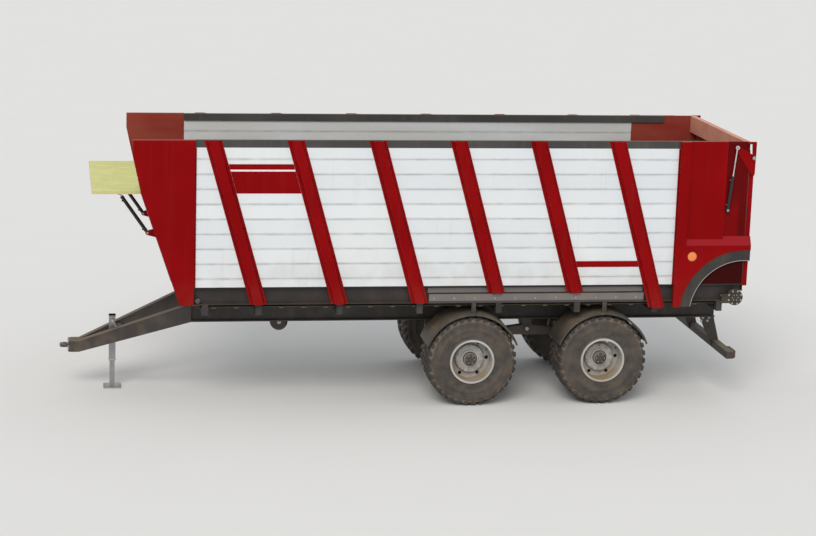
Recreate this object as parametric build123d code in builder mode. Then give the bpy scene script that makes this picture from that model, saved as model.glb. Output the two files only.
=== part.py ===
from build123d import *
import os
from math import asin, atan2, cos, radians, sin, tan

# A two-axle silage wagon with slatted walls, a belt floor, a front flap and a rear gate.
# Millimetres. X runs from the drawbar eye (-X) to the rear gate (+X), Y across, Z up.
# The origin is on the ground under the middle of the machine. The left side is -Y.

# Body, seen from the side
body_length = 8380.0
front_panel_length = 809.0
rear_section_length = 1057.0
sill_rise = 80.0
sill_height = 240.0
wall_height = 1866.0
rail_height = 100.0

# Body, across
inner_half_width = 1185.0
wall_thickness = 30.0
post_depth = 60.0
front_panel_thickness = 70.0
front_panel_round = 12.0
rail_width = 50.0

# Boards of the side wall
board_pitch = 200.0
lowest_board = 114.0
board_joint_width = 8.0
board_joint_depth = 5.0

# Slanted posts: folded hat sections
first_post_setback = 1066.0
last_post_setback = 842.0
post_lean = 15.94
post_width = 228.0
post_crown_width = 128.0
post_foot_width = 172.0
post_sheet = 6.0
post_feet_above_sill = [10.0, 10.0, 10.0, 142.0, 142.0, -80.0]

# Sills and the floor between them
sill_depth = 75.0
sill_web = 10.0
sill_flange = 12.0
roller_above_sill = 58.0
roller_radius = 100.0
front_roller_setback = 51.0
rear_roller_setback = 180.0
roller_end_gap = 30.0
shaft_radius = 35.0
shaft_clearance = 0.3
belt_edge_gap = 20.0
belt_thickness = 12.0
belt_fit = 0.3
slat_pitch = 300.0
slat_width = 60.0
slat_height = 12.0
deck_sheet = 8.0
deck_end_gap = 20.0
deck_beam_width = 80.0
deck_beam_height = 60.0
deck_beam_pitch = 1000.0
gearbox_radius = 110.0
gearbox_depth = 44.0
gearbox_hub_radius = 62.0
gearbox_hub_depth = 12.0
motor_radius = 60.0
motor_length = 190.0
motor_drop = 20.0

# Slanted front wall, between the front panels
front_vertical_edge = 206.0
flap_edge_setback = 110.0
flap_edge_below_top = 706.0
front_foot_setback = 620.0
front_wall_recess = 50.0
front_wall_sheet = 6.0
front_rib_width = 80.0
front_rib_pitch = 340.0
front_rib_columns = 7
front_beam_height = 90.0
front_wall_start = 12.0
front_wall_short = 30.0
apron_sheet = 6.0
apron_gap = 8.0
apron_end_gap = 4.0

# Front flap, folded forward, and its hinge
flap_length = 650.0
flap_side_gap = 7.0
flap_sheet = 6.0
flap_depth = 40.0
flap_rib_width = 60.0
flap_columns = 4
flap_hinge_gap = 22.0
flap_hinge_behind = 15.0
flap_hinge_above = 5.0
hinge_tube_radius = 16.0
hinge_pin_radius = 8.0
hinge_fit = 0.1
hinge_knuckle_length = 120.0
hinge_knuckle_gap = 1.0
hinge_places_y = [-1000.0, -340.0, 340.0, 1000.0]
hinge_post_width = 24.0
hinge_post_height = 42.0

# Flap cylinders, in front of the wall
flap_cylinder_y = 680.0
flap_lug_reach = 285.0
flap_lug_drop = 90.0
flap_cylinder_foot_ahead = 104.0
flap_cylinder_foot_drop = 630.0
flap_barrel_radius = 24.0
flap_barrel_length = 600.0
flap_rod_radius = 11.0
flap_rod_length = 560.0
flap_eye_radius = 28.0
flap_eye_width = 30.0
flap_cylinder_pin_radius = 12.0

# Cylinders in general
pin_fit = 0.1
rod_fit = 0.3
boss_gap = 0.3
lug_thickness = 12.0
lug_round = 26.0
lug_length = 60.0
lug_slot_gap = 12.0

# Rear section: outboard strip, recesses, ledge, skirt and arch
rear_strip_length = 140.0
rear_panel_length = 522.0
rear_panel_depth = 20.0
ledge_above_sill = 666.0
ledge_height = 119.0
skirt_drop = 70.0
arch_setback = 80.0
arch_drop = 165.0
arch_radius = 885.0
arch_guard_width = 150.0
arch_guard_depth = 43.0
side_end_gap = 5.0
rail_overrun = 487.0
wall_end_setback = 85.0
marker_setback = 824.0
marker_above_sill = 395.0
marker_radius = 72.0
marker_depth = 18.0
marker_fit = 0.3
header_length = 80.0
header_height = 236.0

# Tailgate and its side arms
gate_setback = 75.0
gate_depth = 70.0
gate_sheet = 8.0
gate_side_lap = 5.0
gate_bottom_lap = 30.0
gate_top_rise = 10.0
gate_rib = 60.0
gate_columns = 5
gate_rows = 3
gate_hinge_setback = 30.0
gate_hinge_drop = 221.0
gate_pin_radius = 18.0
gate_boss_radius = 30.0
gate_arm_gap = 5.5
gate_arm_thickness = 8.0
gate_arm_drop = 215.0
gate_arm_round = 28.0
gate_spacer_height = 220.0
gate_spacer_length = 50.0
hanger_gap = 7.5
hanger_thickness = 12.0
hanger_cap = 30.0
hanger_length = 125.0
hanger_width = 60.0

# Gate cylinders, in the side recess
gate_cylinder_foot_setback = 360.0
gate_cylinder_foot_drop = 715.0
gate_cylinder_head_setback = 275.0
gate_cylinder_head_rise = 145.0
gate_cylinder_gap = 37.0
gate_barrel_radius = 19.0
gate_barrel_length = 470.0
gate_rod_radius = 11.0
gate_rod_length = 445.0
gate_eye_radius = 28.0
gate_eye_width = 28.0
gate_cylinder_pin_radius = 14.0
eye_neck = 6.0
barrel_end_wall = 10.0

# Wheels
tyre_radius = 625.0
tyre_width = 560.0
tread_width = 500.0
shoulder_drop = 29.0
bead_radius = 286.0
track = 1950.0
front_axle_setback = 3810.0
axle_spacing = 1810.0
rim_thickness = 9.0
rim_flange_height = 18.0
rim_disc_place = 40.0
rim_disc_thickness = 14.0
rim_dish_depth = 50.0
rim_dish_radius = 206.0
stud_ring_radius = 188.0
hub_radius = 120.0
hub_reach = 120.0
hub_cap_radius = 75.0
hub_cap_length = 50.0
drum_radius = 205.0
drum_from = -235.0
drum_to = -60.0
hand_hole_radius = 26.0
hand_hole_count = 6
hand_hole_circle = 242.0
axle_stub_radius = 55.0
axle_stub_fit = 0.1
axle_beam = 120.0
axle_beam_end = 700.0

# Brake gear behind each axle beam
chamber_y = 380.0
chamber_rise = 120.0
chamber_radius = 68.0
chamber_length = 110.0
chamber_round = 22.0
chamber_slope = 45.0
chamber_setback = 190.0
chamber_plate = 12.0
camshaft_radius = 18.0
camshaft_setback = 110.0
camshaft_end_gap = 5.0
lever_thickness = 12.0
lever_hub_radius = 30.0
lever_end_radius = 18.0
push_rod_radius = 9.0

# Chassis
beam_y = 500.0
beam_width = 120.0
beam_height = 250.0
beam_web = 12.0
beam_flange = 16.0
beam_rise = 415.0
beam_front_gap = 11.0
beam_rear_gap = 210.0
cross_member_width = 100.0
cross_member_height = 150.0
first_member_setback = 200.0
front_member_count = 3
tandem_member_reach = 1385.0
last_member_setback = 250.0
bearer_width = 80.0
bearer_height = 60.0
front_bearer_inset = 150.0
rear_bearer_inset = 300.0

# Leaf springs, rockers and hangers
spring_half_length = 450.0
spring_rise = 110.0
leaf_thickness = 14.0
leaf_count = 4
leaf_step = 0.2
spring_width = 80.0
spring_seat = 20.0
spring_eye_radius = 26.0
hanger_plate = 10.0
spring_hanger_top = 150.0
spring_pin_radius = 12.0
spring_clamp_length = 150.0
spring_clamp_thickness = 16.0
rocker_pin_drop = 140.0
rocker_hub_radius = 60.0
rocker_end_radius = 42.0

# Mudguards
guard_tyre_gap = 30.0
guard_sheet = 6.0
guard_half_angle = 70.0
guard_overhang = 5.0
guard_side_inset = 13.0
guard_lip = 20.0
guard_stay_length = 60.0
guard_strip_front_reach = 620.0
guard_strip_rear_reach = 540.0
guard_strip_height = 132.0
guard_strip_sheet = 8.0

# Drawbar, eye and parking jack
eye_reach = 870.0
eye_radius = 70.0
eye_hole_radius = 25.0
eye_thickness = 40.0
eye_z = 600.0
eye_plate_thickness = 30.0
eye_plate_width = 220.0
eye_shank_width = 90.0
nose_gap = 80.0
nose_length = 110.0
nose_width = 244.0
nose_height = 150.0
leg_width = 120.0
jack_bar_reach = 960.0
jack_bar_length = 80.0
jack_bar_height = 120.0
jack_tube = 90.0
jack_leg = 70.0
jack_tube_bottom_z = 380.0
jack_tube_top_z = 1020.0
jack_foot = 240.0
jack_foot_thickness = 14.0
jack_crank_radius = 11.0
jack_crank_length = 170.0

# Rear bumper and lamps
bumper_section = 100.0
bumper_z = 650.0
bumper_side_inset = 95.0
bumper_rear_gap = 120.0
bumper_plate = 12.0
rear_lamp_inset = 170.0
rear_lamp_width = 240.0
rear_lamp_height = 110.0
rear_lamp_depth = 55.0

# Air tank and ladder
tank_radius = 120.0
tank_half_length = 330.0
tank_end_depth = 30.0
tank_end_slope = 30.0
tank_saddle_y = 200.0
tank_saddle_width = 40.0
tank_saddle_length = 90.0
ladder_stringer = 30.0
ladder_rung = 24.0
ladder_rung_pitch = 280.0
ladder_rungs = 5
ladder_start = 60.0

# Places worked out from the sizes above
overall_length = body_length + eye_reach + eye_radius
rear_x = overall_length / 2
front_x = rear_x - body_length
eye_x = front_x - eye_reach
front_joint_x = front_x + front_panel_length
rear_joint_x = rear_x - rear_section_length
wall_outer_y = inner_half_width + wall_thickness
side_y = wall_outer_y + post_depth
sill_inner_y = wall_outer_y - sill_depth
beam_bottom_z = tyre_radius + beam_rise
beam_top_z = beam_bottom_z + beam_height
bearer_top_z = beam_top_z + bearer_height
sill_bottom_z = bearer_top_z + sill_rise
sill_top_z = sill_bottom_z + sill_height
wall_top_z = sill_top_z + wall_height
top_z = wall_top_z + rail_height
wall_end_x = rear_x - wall_end_setback
first_post_x = front_x + first_post_setback
last_post_x = rear_joint_x - last_post_setback
post_count = len(post_feet_above_sill)
post_pitch = (last_post_x - first_post_x) / (post_count - 1)
front_roller_x = front_joint_x + front_roller_setback
rear_roller_x = rear_x - rear_roller_setback
roller_z = sill_bottom_z + roller_above_sill
roller_half_length = sill_inner_y - roller_end_gap
belt_half_width = sill_inner_y - belt_edge_gap
belt_inner_radius = roller_radius + belt_fit
deck_top_z = roller_z + belt_inner_radius
slat_top_z = deck_top_z + belt_thickness + slat_height
beam_front_x = front_joint_x + beam_front_gap
beam_rear_x = rear_x - beam_rear_gap
front_axle_x = rear_x - front_axle_setback
axle_places_x = [front_axle_x, front_axle_x + axle_spacing]
gate_inner_x = rear_x - gate_setback
gate_half_width = inner_half_width + gate_side_lap
gate_hinge = (rear_x - gate_hinge_setback, top_z - gate_hinge_drop)
gate_foot = (rear_x - gate_cylinder_foot_setback, gate_hinge[1] - gate_cylinder_foot_drop)
gate_head = (rear_x - gate_cylinder_head_setback, gate_hinge[1] + gate_cylinder_head_rise)
gate_top_z = gate_hinge[1] + gate_top_rise
gate_bottom_z = sill_top_z - gate_bottom_lap
gate_arm_foot_z = gate_hinge[1] - gate_arm_drop
gate_arm_y = wall_outer_y + gate_arm_gap
gate_cylinder_y = wall_outer_y + gate_cylinder_gap
ledge_top_z = sill_top_z + ledge_above_sill
ledge_bottom_z = ledge_top_z - ledge_height
skirt_bottom_z = sill_bottom_z - skirt_drop
marker_z = sill_top_z + marker_above_sill
arch_centre = (rear_x - arch_setback, sill_bottom_z - arch_drop)
side_end_x = rear_x - side_end_gap
flap_edge_x = front_x + flap_edge_setback
flap_edge_z = top_z - flap_edge_below_top
flap_half_width = inner_half_width - flap_side_gap
front_foot_x = front_x + front_foot_setback
front_slope = (front_foot_setback - flap_edge_setback) / (flap_edge_z - sill_bottom_z)
flap_hinge = (flap_edge_x + flap_hinge_behind, flap_edge_z + flap_hinge_above)
flap_head = (flap_hinge[0] - flap_lug_reach, flap_hinge[1] - flap_lug_drop)


def front_edge_x(z):
    """Where the slanted leading edge of the front panel is at a height."""
    return flap_edge_x + (flap_edge_z - z) * front_slope


flap_foot_z = flap_edge_z - flap_cylinder_foot_drop
flap_foot = (front_edge_x(flap_foot_z) - flap_cylinder_foot_ahead, flap_foot_z)


def left_plane(y):
    """A plane facing the left side of the machine, at a distance from its middle."""
    return Plane.XZ.offset(y)


def right_copy(left):
    """The same piece on the right side of the machine."""
    with BuildPart() as right:
        mirror(left.part, about=Plane.XZ)
    return right


def box_between(low, high, mode=Mode.ADD):
    """A box from its lowest corner to its highest."""
    middle = [(a + b) / 2 for a, b in zip(low, high)]
    sizes = [b - a for a, b in zip(low, high)]
    with Locations(tuple(middle)):
        Box(*sizes, mode=mode)


# Sills: channels open outwards, drilled for the roller shafts
roller_places = [(front_roller_x, roller_z), (rear_roller_x, roller_z)]
with BuildPart() as sill_left:
    with BuildSketch(Plane.YZ.offset(front_joint_x)):
        with Locations((-(sill_inner_y + sill_depth / 2), sill_bottom_z + sill_height / 2)):
            Rectangle(sill_depth, sill_height)
        with Locations((-(wall_outer_y + sill_inner_y + sill_web) / 2, sill_bottom_z + sill_height / 2)):
            Rectangle(sill_depth - sill_web, sill_height - 2 * sill_flange, mode=Mode.SUBTRACT)
    extrude(amount=wall_end_x - front_joint_x)
    with BuildSketch(left_plane(sill_inner_y)):
        with Locations(*roller_places):
            Circle(shaft_radius + shaft_clearance)
    extrude(amount=sill_web, mode=Mode.SUBTRACT)
sill_right = right_copy(sill_left)

# Floor deck: a sheet on cross beams between the sills, inside the belt's loop
deck_front_x = front_roller_x + roller_radius + deck_end_gap
deck_rear_x = rear_roller_x - roller_radius - deck_end_gap
deck_beam_count = int((deck_rear_x - deck_front_x - deck_beam_width) / deck_beam_pitch) + 1
deck_beam_z = deck_top_z - deck_sheet - deck_beam_height / 2
with BuildPart() as floor_deck:
    box_between(
        (deck_front_x, -sill_inner_y, deck_top_z - deck_sheet),
        (deck_rear_x, sill_inner_y, deck_top_z),
    )
    with Locations(((deck_front_x + deck_rear_x) / 2, 0, deck_beam_z)):
        with GridLocations(deck_beam_pitch, 1, deck_beam_count, 1):
            Box(deck_beam_width, 2 * sill_inner_y, deck_beam_height)

# Floor belt: one closed loop with cross slats
belt_run = rear_roller_x - front_roller_x
slat_count = int(belt_run / slat_pitch)
with BuildPart() as floor_belt:
    with BuildSketch(left_plane(-belt_half_width)):
        with Locations(((front_roller_x + rear_roller_x) / 2, roller_z)):
            SlotCenterToCenter(belt_run, 2 * (belt_inner_radius + belt_thickness))
            with GridLocations(slat_pitch, 1, slat_count, 1):
                Rectangle(slat_width, 2 * (belt_inner_radius + belt_thickness + slat_height))
            SlotCenterToCenter(belt_run, 2 * belt_inner_radius, mode=Mode.SUBTRACT)
    extrude(amount=2 * belt_half_width)

# Belt rollers with their shafts
with BuildPart() as belt_rollers:
    with BuildSketch(left_plane(-roller_half_length)):
        with Locations(*roller_places):
            Circle(roller_radius)
    extrude(amount=2 * roller_half_length)
    with BuildSketch(left_plane(-wall_outer_y)):
        with Locations(*roller_places):
            Circle(shaft_radius)
    extrude(amount=2 * wall_outer_y)

# Belt drive: a flat gearbox on each sill's end, seen in the rear arch
with BuildPart() as belt_drives:
    with BuildSketch(left_plane(wall_outer_y)):
        with Locations((rear_roller_x, roller_z)):
            Circle(gearbox_radius)
    extrude(amount=gearbox_depth)
    with BuildSketch(left_plane(wall_outer_y + gearbox_depth)):
        with Locations((rear_roller_x, roller_z)):
            Circle(gearbox_hub_radius)
    extrude(amount=gearbox_hub_depth)
    with BuildSketch(Plane.YZ.offset(rear_roller_x - motor_length)):
        with Locations((-(wall_outer_y + gearbox_depth / 2), roller_z - motor_drop)):
            Rectangle(gearbox_depth, 2 * motor_radius)
    extrude(amount=motor_length)
    mirror(about=Plane.XZ)

# Side walls: boards with a groove at each joint, inside and out
board_joint_count = int((wall_height - lowest_board) / board_pitch) + 1
board_joints_z = [sill_top_z + lowest_board + row * board_pitch for row in range(board_joint_count)]
with BuildPart() as side_wall_left:
    with BuildSketch(Plane.YZ.offset(front_joint_x)):
        with Locations((-(inner_half_width + wall_thickness / 2), sill_top_z + wall_height / 2)):
            Rectangle(wall_thickness, wall_height)
        for face_y in (inner_half_width, wall_outer_y):
            with Locations(*[(-face_y, z) for z in board_joints_z]):
                Rectangle(2 * board_joint_depth, board_joint_width, mode=Mode.SUBTRACT)
    extrude(amount=rear_joint_x - front_joint_x)
side_wall_right = right_copy(side_wall_left)

# Top rails: dark tubes on the boards, running on over part of the rear section
rail_end_x = rear_joint_x + rail_overrun
with BuildPart() as top_rail_left:
    box_between(
        (front_joint_x, -wall_outer_y, wall_top_z),
        (rail_end_x, rail_width - wall_outer_y, top_z),
    )
top_rail_right = right_copy(top_rail_left)

# Slanted posts: open hat sections, sheared so that their ends stay level
post_half = post_width / 2
foot_half = post_foot_width / 2
crown_half = post_crown_width / 2
flank_run = (foot_half - crown_half) / post_depth
hat_half = [
    (post_half, 0),
    (post_half, post_sheet),
    (foot_half - flank_run * post_sheet, post_sheet),
    (crown_half, post_depth),
]
hat_hollow = [
    (crown_half - post_sheet, post_depth - post_sheet),
    (foot_half - post_sheet, 0),
]
hat_outline = (
    [(x, -wall_outer_y - d) for x, d in hat_half]
    + [(-x, -wall_outer_y - d) for x, d in reversed(hat_half)]
    + [(-x, -wall_outer_y - d) for x, d in reversed(hat_hollow)]
    + [(x, -wall_outer_y - d) for x, d in hat_hollow]
)
post_run = tan(radians(post_lean))
with BuildPart() as posts_left:
    for number, foot_above_sill in enumerate(post_feet_above_sill):
        post_top_x = first_post_x + number * post_pitch - post_run * rail_height
        drop = top_z - sill_bottom_z - foot_above_sill
        with BuildSketch(Plane.XY.offset(top_z)):
            with BuildLine():
                Polyline([(post_top_x + x, y) for x, y in hat_outline], close=True)
            make_face()
        extrude(amount=drop / cos(radians(post_lean)), dir=(post_run, 0, -1))
posts_right = right_copy(posts_left)

# Front side panels: slanted leading edge, upright at the top
front_outline = [
    (front_x, top_z),
    (front_x, top_z - front_vertical_edge),
    (flap_edge_x, flap_edge_z),
    (front_foot_x, sill_bottom_z),
    (front_joint_x, sill_bottom_z),
    (front_joint_x, top_z),
]
with BuildPart() as front_panel_left:
    with BuildSketch(left_plane(inner_half_width)):
        with BuildLine():
            Polyline(front_outline, close=True)
        make_face()
    extrude(amount=front_panel_thickness)
    fillet(front_panel_left.edges().group_by(Axis.Y)[0], radius=front_panel_round)
front_panel_right = right_copy(front_panel_left)

# Front wall: a sheet with ribs ahead of it, a hinge beam and the pin of the flap
slope_angle = atan2(front_foot_x - flap_edge_x, flap_edge_z - sill_bottom_z)
front_plane = Plane(
    origin=(front_foot_x, 0, sill_bottom_z),
    x_dir=(0, -1, 0),
    z_dir=(-cos(slope_angle), 0, -sin(slope_angle)),
)
front_wall_length = (flap_edge_z - sill_bottom_z) / cos(slope_angle) - front_wall_short
sheet_plane = front_plane.offset(-front_wall_recess - front_wall_sheet)
rib_plane = front_plane.offset(-front_wall_recess)
front_rib_length = front_wall_length - front_wall_start
apron_z = slat_top_z + apron_gap
apron_front_x = front_edge_x(apron_z) + (front_wall_recess + front_wall_sheet / 2) / cos(slope_angle)
with BuildPart() as front_wall:
    with BuildSketch(sheet_plane):
        with Locations((0, (front_wall_length + front_wall_start) / 2)):
            Rectangle(2 * inner_half_width, front_rib_length)
    extrude(amount=front_wall_sheet)
    with BuildSketch(rib_plane):
        with Locations((0, (front_wall_length + front_wall_start) / 2)):
            with GridLocations(front_rib_pitch, 1, front_rib_columns, 1):
                Rectangle(front_rib_width, front_rib_length)
        for beam_v in (front_wall_start + front_beam_height / 2, front_wall_length - front_beam_height / 2):
            with Locations((0, beam_v)):
                Rectangle(2 * inner_half_width, front_beam_height)
    extrude(amount=front_wall_recess)
    box_between(
        (apron_front_x, -inner_half_width, apron_z),
        (front_joint_x - apron_end_gap, inner_half_width, apron_z + apron_sheet),
    )
    # Hinge knuckles on short posts, each with its pin
    for knuckle_y in hinge_places_y:
        box_between(
            (
                flap_hinge[0] - hinge_post_width / 2,
                knuckle_y - hinge_knuckle_length / 2,
                flap_hinge[1] - hinge_post_height,
            ),
            (
                flap_hinge[0] + hinge_post_width / 2,
                knuckle_y + hinge_knuckle_length / 2,
                flap_hinge[1],
            ),
        )
        with BuildSketch(left_plane(-knuckle_y)):
            with Locations(flap_hinge):
                Circle(hinge_tube_radius)
        extrude(amount=hinge_knuckle_length / 2, both=True)
        with BuildSketch(left_plane(-knuckle_y)):
            with Locations(flap_hinge):
                Circle(hinge_pin_radius)
        extrude(amount=hinge_knuckle_length, both=True)
    # Lugs that carry the flap cylinders' feet, slotted round the eyes
    lug_slot_length = 2 * (flap_eye_radius + lug_slot_gap)
    lug_slot_height = 2 * (lug_round + lug_slot_gap)
    for lug_y in (-flap_cylinder_y, flap_cylinder_y):
        with BuildSketch(left_plane(-lug_y)):
            with Locations(flap_foot):
                Circle(lug_round)
            with Locations((front_edge_x(flap_foot[1]) + lug_round, flap_foot[1])):
                Rectangle(lug_round, 2 * lug_length)
            make_hull()
        extrude(amount=flap_eye_width / 2 + boss_gap + lug_thickness, both=True)
        with BuildSketch(left_plane(-lug_y)):
            with Locations(flap_foot):
                Rectangle(lug_slot_length, lug_slot_height)
        extrude(amount=flap_eye_width / 2 + boss_gap, both=True, mode=Mode.SUBTRACT)
        with BuildSketch(left_plane(-lug_y)):
            with Locations(flap_foot):
                Circle(flap_cylinder_pin_radius)
        extrude(amount=flap_eye_width / 2 + boss_gap, both=True)

# Front flap: a ribbed sheet, level when folded forward, with its half of the hinge
flap_front_x = flap_hinge[0] - flap_length
flap_rear_x = flap_hinge[0] - flap_hinge_gap
flap_top_z = flap_hinge[1] + flap_depth / 2
flap_middle_x = (flap_front_x + flap_rear_x) / 2
flap_pocket_pitch = (2 * flap_half_width - flap_rib_width) / flap_columns
flap_knuckle_length = hinge_knuckle_length / 2 - hinge_knuckle_gap
with BuildPart() as front_flap:
    box_between(
        (flap_front_x, -flap_half_width, flap_top_z - flap_depth),
        (flap_rear_x, flap_half_width, flap_top_z),
    )
    with BuildSketch(Plane.XY.offset(flap_top_z - flap_depth)):
        with Locations((flap_middle_x, 0)):
            with GridLocations(1, flap_pocket_pitch, 1, flap_columns):
                Rectangle(
                    flap_rear_x - flap_front_x - 2 * flap_rib_width,
                    flap_pocket_pitch - flap_rib_width,
                )
    extrude(amount=flap_depth - flap_sheet, mode=Mode.SUBTRACT)
    knuckle_step = (hinge_knuckle_length + flap_knuckle_length) / 2 + hinge_knuckle_gap
    for knuckle_y in hinge_places_y:
        for side in (-1, 1):
            place_y = knuckle_y + side * knuckle_step
            with BuildSketch(left_plane(-place_y)):
                with Locations(flap_hinge):
                    Circle(hinge_tube_radius)
                with Locations((flap_rear_x - hinge_tube_radius, flap_hinge[1])):
                    Rectangle(2 * hinge_tube_radius, 2 * hinge_tube_radius)
                make_hull()
            extrude(amount=flap_knuckle_length / 2, both=True)
            with BuildSketch(left_plane(-place_y)):
                with Locations(flap_hinge):
                    Circle(hinge_pin_radius + hinge_fit)
            extrude(amount=flap_knuckle_length / 2, both=True, mode=Mode.SUBTRACT)
    # Lugs beside the eyes of the cylinders' rods
    lug_side = flap_eye_width / 2 + boss_gap + lug_thickness / 2
    for cylinder_y in (-flap_cylinder_y, flap_cylinder_y):
        for lug_y in (cylinder_y - lug_side, cylinder_y + lug_side):
            with BuildSketch(left_plane(-lug_y)):
                with Locations(flap_head):
                    Circle(lug_round)
                with Locations((flap_head[0], flap_top_z - flap_sheet / 2)):
                    Rectangle(2 * lug_length, flap_sheet)
                make_hull()
            extrude(amount=lug_thickness / 2, both=True)


def cylinder_plane(foot, head, y):
    """A plane across a cylinder at its foot pin, facing along it to its head."""
    return Plane(
        origin=(foot[0], -y, foot[1]),
        x_dir=(0, -1, 0),
        z_dir=(head[0] - foot[0], 0, head[1] - foot[1]),
    )


def build_barrels(foot, head, y, radius, length, eye_radius, eye_width, pin_radius, rod_radius):
    """A pair of cylinder barrels, each with the eye at its foot."""
    across = cylinder_plane(foot, head, y)
    with BuildPart() as barrels:
        with BuildSketch(across.offset(eye_radius + eye_neck)):
            Circle(radius)
        extrude(amount=length - eye_radius - eye_neck)
        neck_end = across.offset(eye_radius + eye_neck).origin
        with BuildSketch(left_plane(y)):
            with Locations(foot):
                Circle(eye_radius)
            with Locations((neck_end.X, neck_end.Z)):
                Circle(eye_width / 2)
            make_hull()
        extrude(amount=eye_width / 2, both=True)
        with BuildSketch(left_plane(y)):
            with Locations(foot):
                Circle(pin_radius + pin_fit)
        extrude(amount=eye_width, both=True, mode=Mode.SUBTRACT)
        with BuildSketch(across.offset(eye_radius + eye_neck + eye_width / 2 + barrel_end_wall)):
            Circle(rod_radius + rod_fit)
        extrude(amount=length, mode=Mode.SUBTRACT)
        mirror(about=Plane.XZ)
    return barrels


def build_rods(foot, head, y, length, eye_radius, eye_width, rod_radius):
    """A pair of cylinder rods, each with the pinned eye at its head."""
    back = cylinder_plane(head, foot, y)
    with BuildPart() as rods:
        with BuildSketch(back):
            Circle(rod_radius)
        extrude(amount=length)
        with BuildSketch(left_plane(y)):
            with Locations(head):
                Circle(eye_radius)
        extrude(amount=eye_width / 2, both=True)
        mirror(about=Plane.XZ)
    return rods


flap_barrels = build_barrels(
    flap_foot,
    flap_head,
    flap_cylinder_y,
    flap_barrel_radius,
    flap_barrel_length,
    flap_eye_radius,
    flap_eye_width,
    flap_cylinder_pin_radius,
    flap_rod_radius,
)
flap_rods = build_rods(
    flap_foot,
    flap_head,
    flap_cylinder_y,
    flap_rod_length,
    flap_eye_radius,
    flap_eye_width,
    flap_rod_radius,
)
gate_barrels = build_barrels(
    gate_foot,
    gate_head,
    gate_cylinder_y,
    gate_barrel_radius,
    gate_barrel_length,
    gate_eye_radius,
    gate_eye_width,
    gate_cylinder_pin_radius,
    gate_rod_radius,
)
gate_rods = build_rods(
    gate_foot,
    gate_head,
    gate_cylinder_y,
    gate_rod_length,
    gate_eye_radius,
    gate_eye_width,
    gate_rod_radius,
)

# Rear section sides: wall, outboard strip, recessed panel, ledge, skirt and arch
strip_end_x = rear_joint_x + rear_strip_length
panel_end_x = strip_end_x + rear_panel_length
hanger_y = gate_arm_y + gate_arm_thickness + hanger_gap
with BuildPart() as rear_side_left:
    with BuildSketch(left_plane(inner_half_width)):
        with BuildLine():
            Polyline(
                [
                    (rear_joint_x, sill_top_z),
                    (wall_end_x, sill_top_z),
                    (wall_end_x, top_z),
                    (rail_end_x, top_z),
                    (rail_end_x, wall_top_z),
                    (rear_joint_x, wall_top_z),
                ],
                close=True,
            )
        make_face()
    extrude(amount=wall_thickness)
    with BuildSketch(left_plane(wall_outer_y)):
        with BuildLine():
            Polyline(
                [
                    (rear_joint_x, skirt_bottom_z),
                    (side_end_x, skirt_bottom_z),
                    (side_end_x, ledge_bottom_z),
                    (strip_end_x, ledge_bottom_z),
                    (strip_end_x, top_z),
                    (rear_joint_x, top_z),
                ],
                close=True,
            )
        make_face()
        with Locations(arch_centre):
            Circle(arch_radius, mode=Mode.SUBTRACT)
    extrude(amount=post_depth)
    box_between(
        (strip_end_x, -wall_outer_y - rear_panel_depth, ledge_bottom_z),
        (panel_end_x, -wall_outer_y, top_z),
    )
    with BuildSketch(Plane.YZ.offset(strip_end_x)):
        with BuildLine():
            Polyline(
                [
                    (-wall_outer_y, ledge_top_z),
                    (-side_y, ledge_bottom_z),
                    (-wall_outer_y, ledge_bottom_z),
                ],
                close=True,
            )
        make_face()
    extrude(amount=side_end_x - strip_end_x)
    # Blind seat of the round side lamp
    with BuildSketch(left_plane(side_y - marker_depth)):
        with Locations((rear_x - marker_setback, marker_z)):
            Circle(marker_radius + marker_fit)
    extrude(amount=marker_depth, mode=Mode.SUBTRACT)
    # Foot pin of the gate cylinder on its boss
    with BuildSketch(left_plane(wall_outer_y)):
        with Locations(gate_foot):
            Circle(gate_eye_radius)
    extrude(amount=gate_cylinder_gap - gate_eye_width / 2 - boss_gap)
    with BuildSketch(left_plane(wall_outer_y)):
        with Locations(gate_foot):
            Circle(gate_cylinder_pin_radius)
    extrude(amount=gate_cylinder_gap + gate_eye_width / 2)
rear_side_right = right_copy(rear_side_left)

# Hangers over the gate's arms, each with its hinge pin
with BuildPart() as gate_hangers:
    box_between(
        (side_end_x - hanger_length, -hanger_y - hanger_thickness, top_z - hanger_cap),
        (side_end_x, -wall_outer_y, top_z),
    )
    with BuildSketch(left_plane(hanger_y)):
        with Locations(gate_hinge):
            Circle(side_end_x - gate_hinge[0])
        with Locations((side_end_x - hanger_width / 2, top_z - hanger_cap / 2)):
            Rectangle(hanger_width, hanger_cap)
        make_hull()
    extrude(amount=hanger_thickness)
    with BuildSketch(left_plane(hanger_y)):
        with Locations(gate_hinge):
            Circle(gate_pin_radius)
    extrude(amount=-(gate_arm_thickness + hanger_gap + gate_arm_gap / 2))
    mirror(about=Plane.XZ)

# Dark guards that line the rear arches
arch_front_x = arch_centre[0] - arch_radius
arch_top_z = arch_centre[1] + arch_radius
with BuildPart() as arch_guards:
    with BuildSketch(left_plane(wall_outer_y)):
        with Locations(arch_centre):
            Circle(arch_radius)
            Circle(arch_radius - arch_guard_width, mode=Mode.SUBTRACT)
        with Locations(((arch_front_x + side_end_x) / 2, (skirt_bottom_z + arch_top_z) / 2)):
            Rectangle(side_end_x - arch_front_x, arch_top_z - skirt_bottom_z, mode=Mode.INTERSECT)
    extrude(amount=arch_guard_depth)
    mirror(about=Plane.XZ)

# Round side lamps in the skirts
with BuildPart() as side_lamps:
    with BuildSketch(left_plane(side_y - marker_depth)):
        with Locations((rear_x - marker_setback, marker_z)):
            Circle(marker_radius)
    extrude(amount=marker_depth)
    mirror(about=Plane.XZ)

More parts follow.
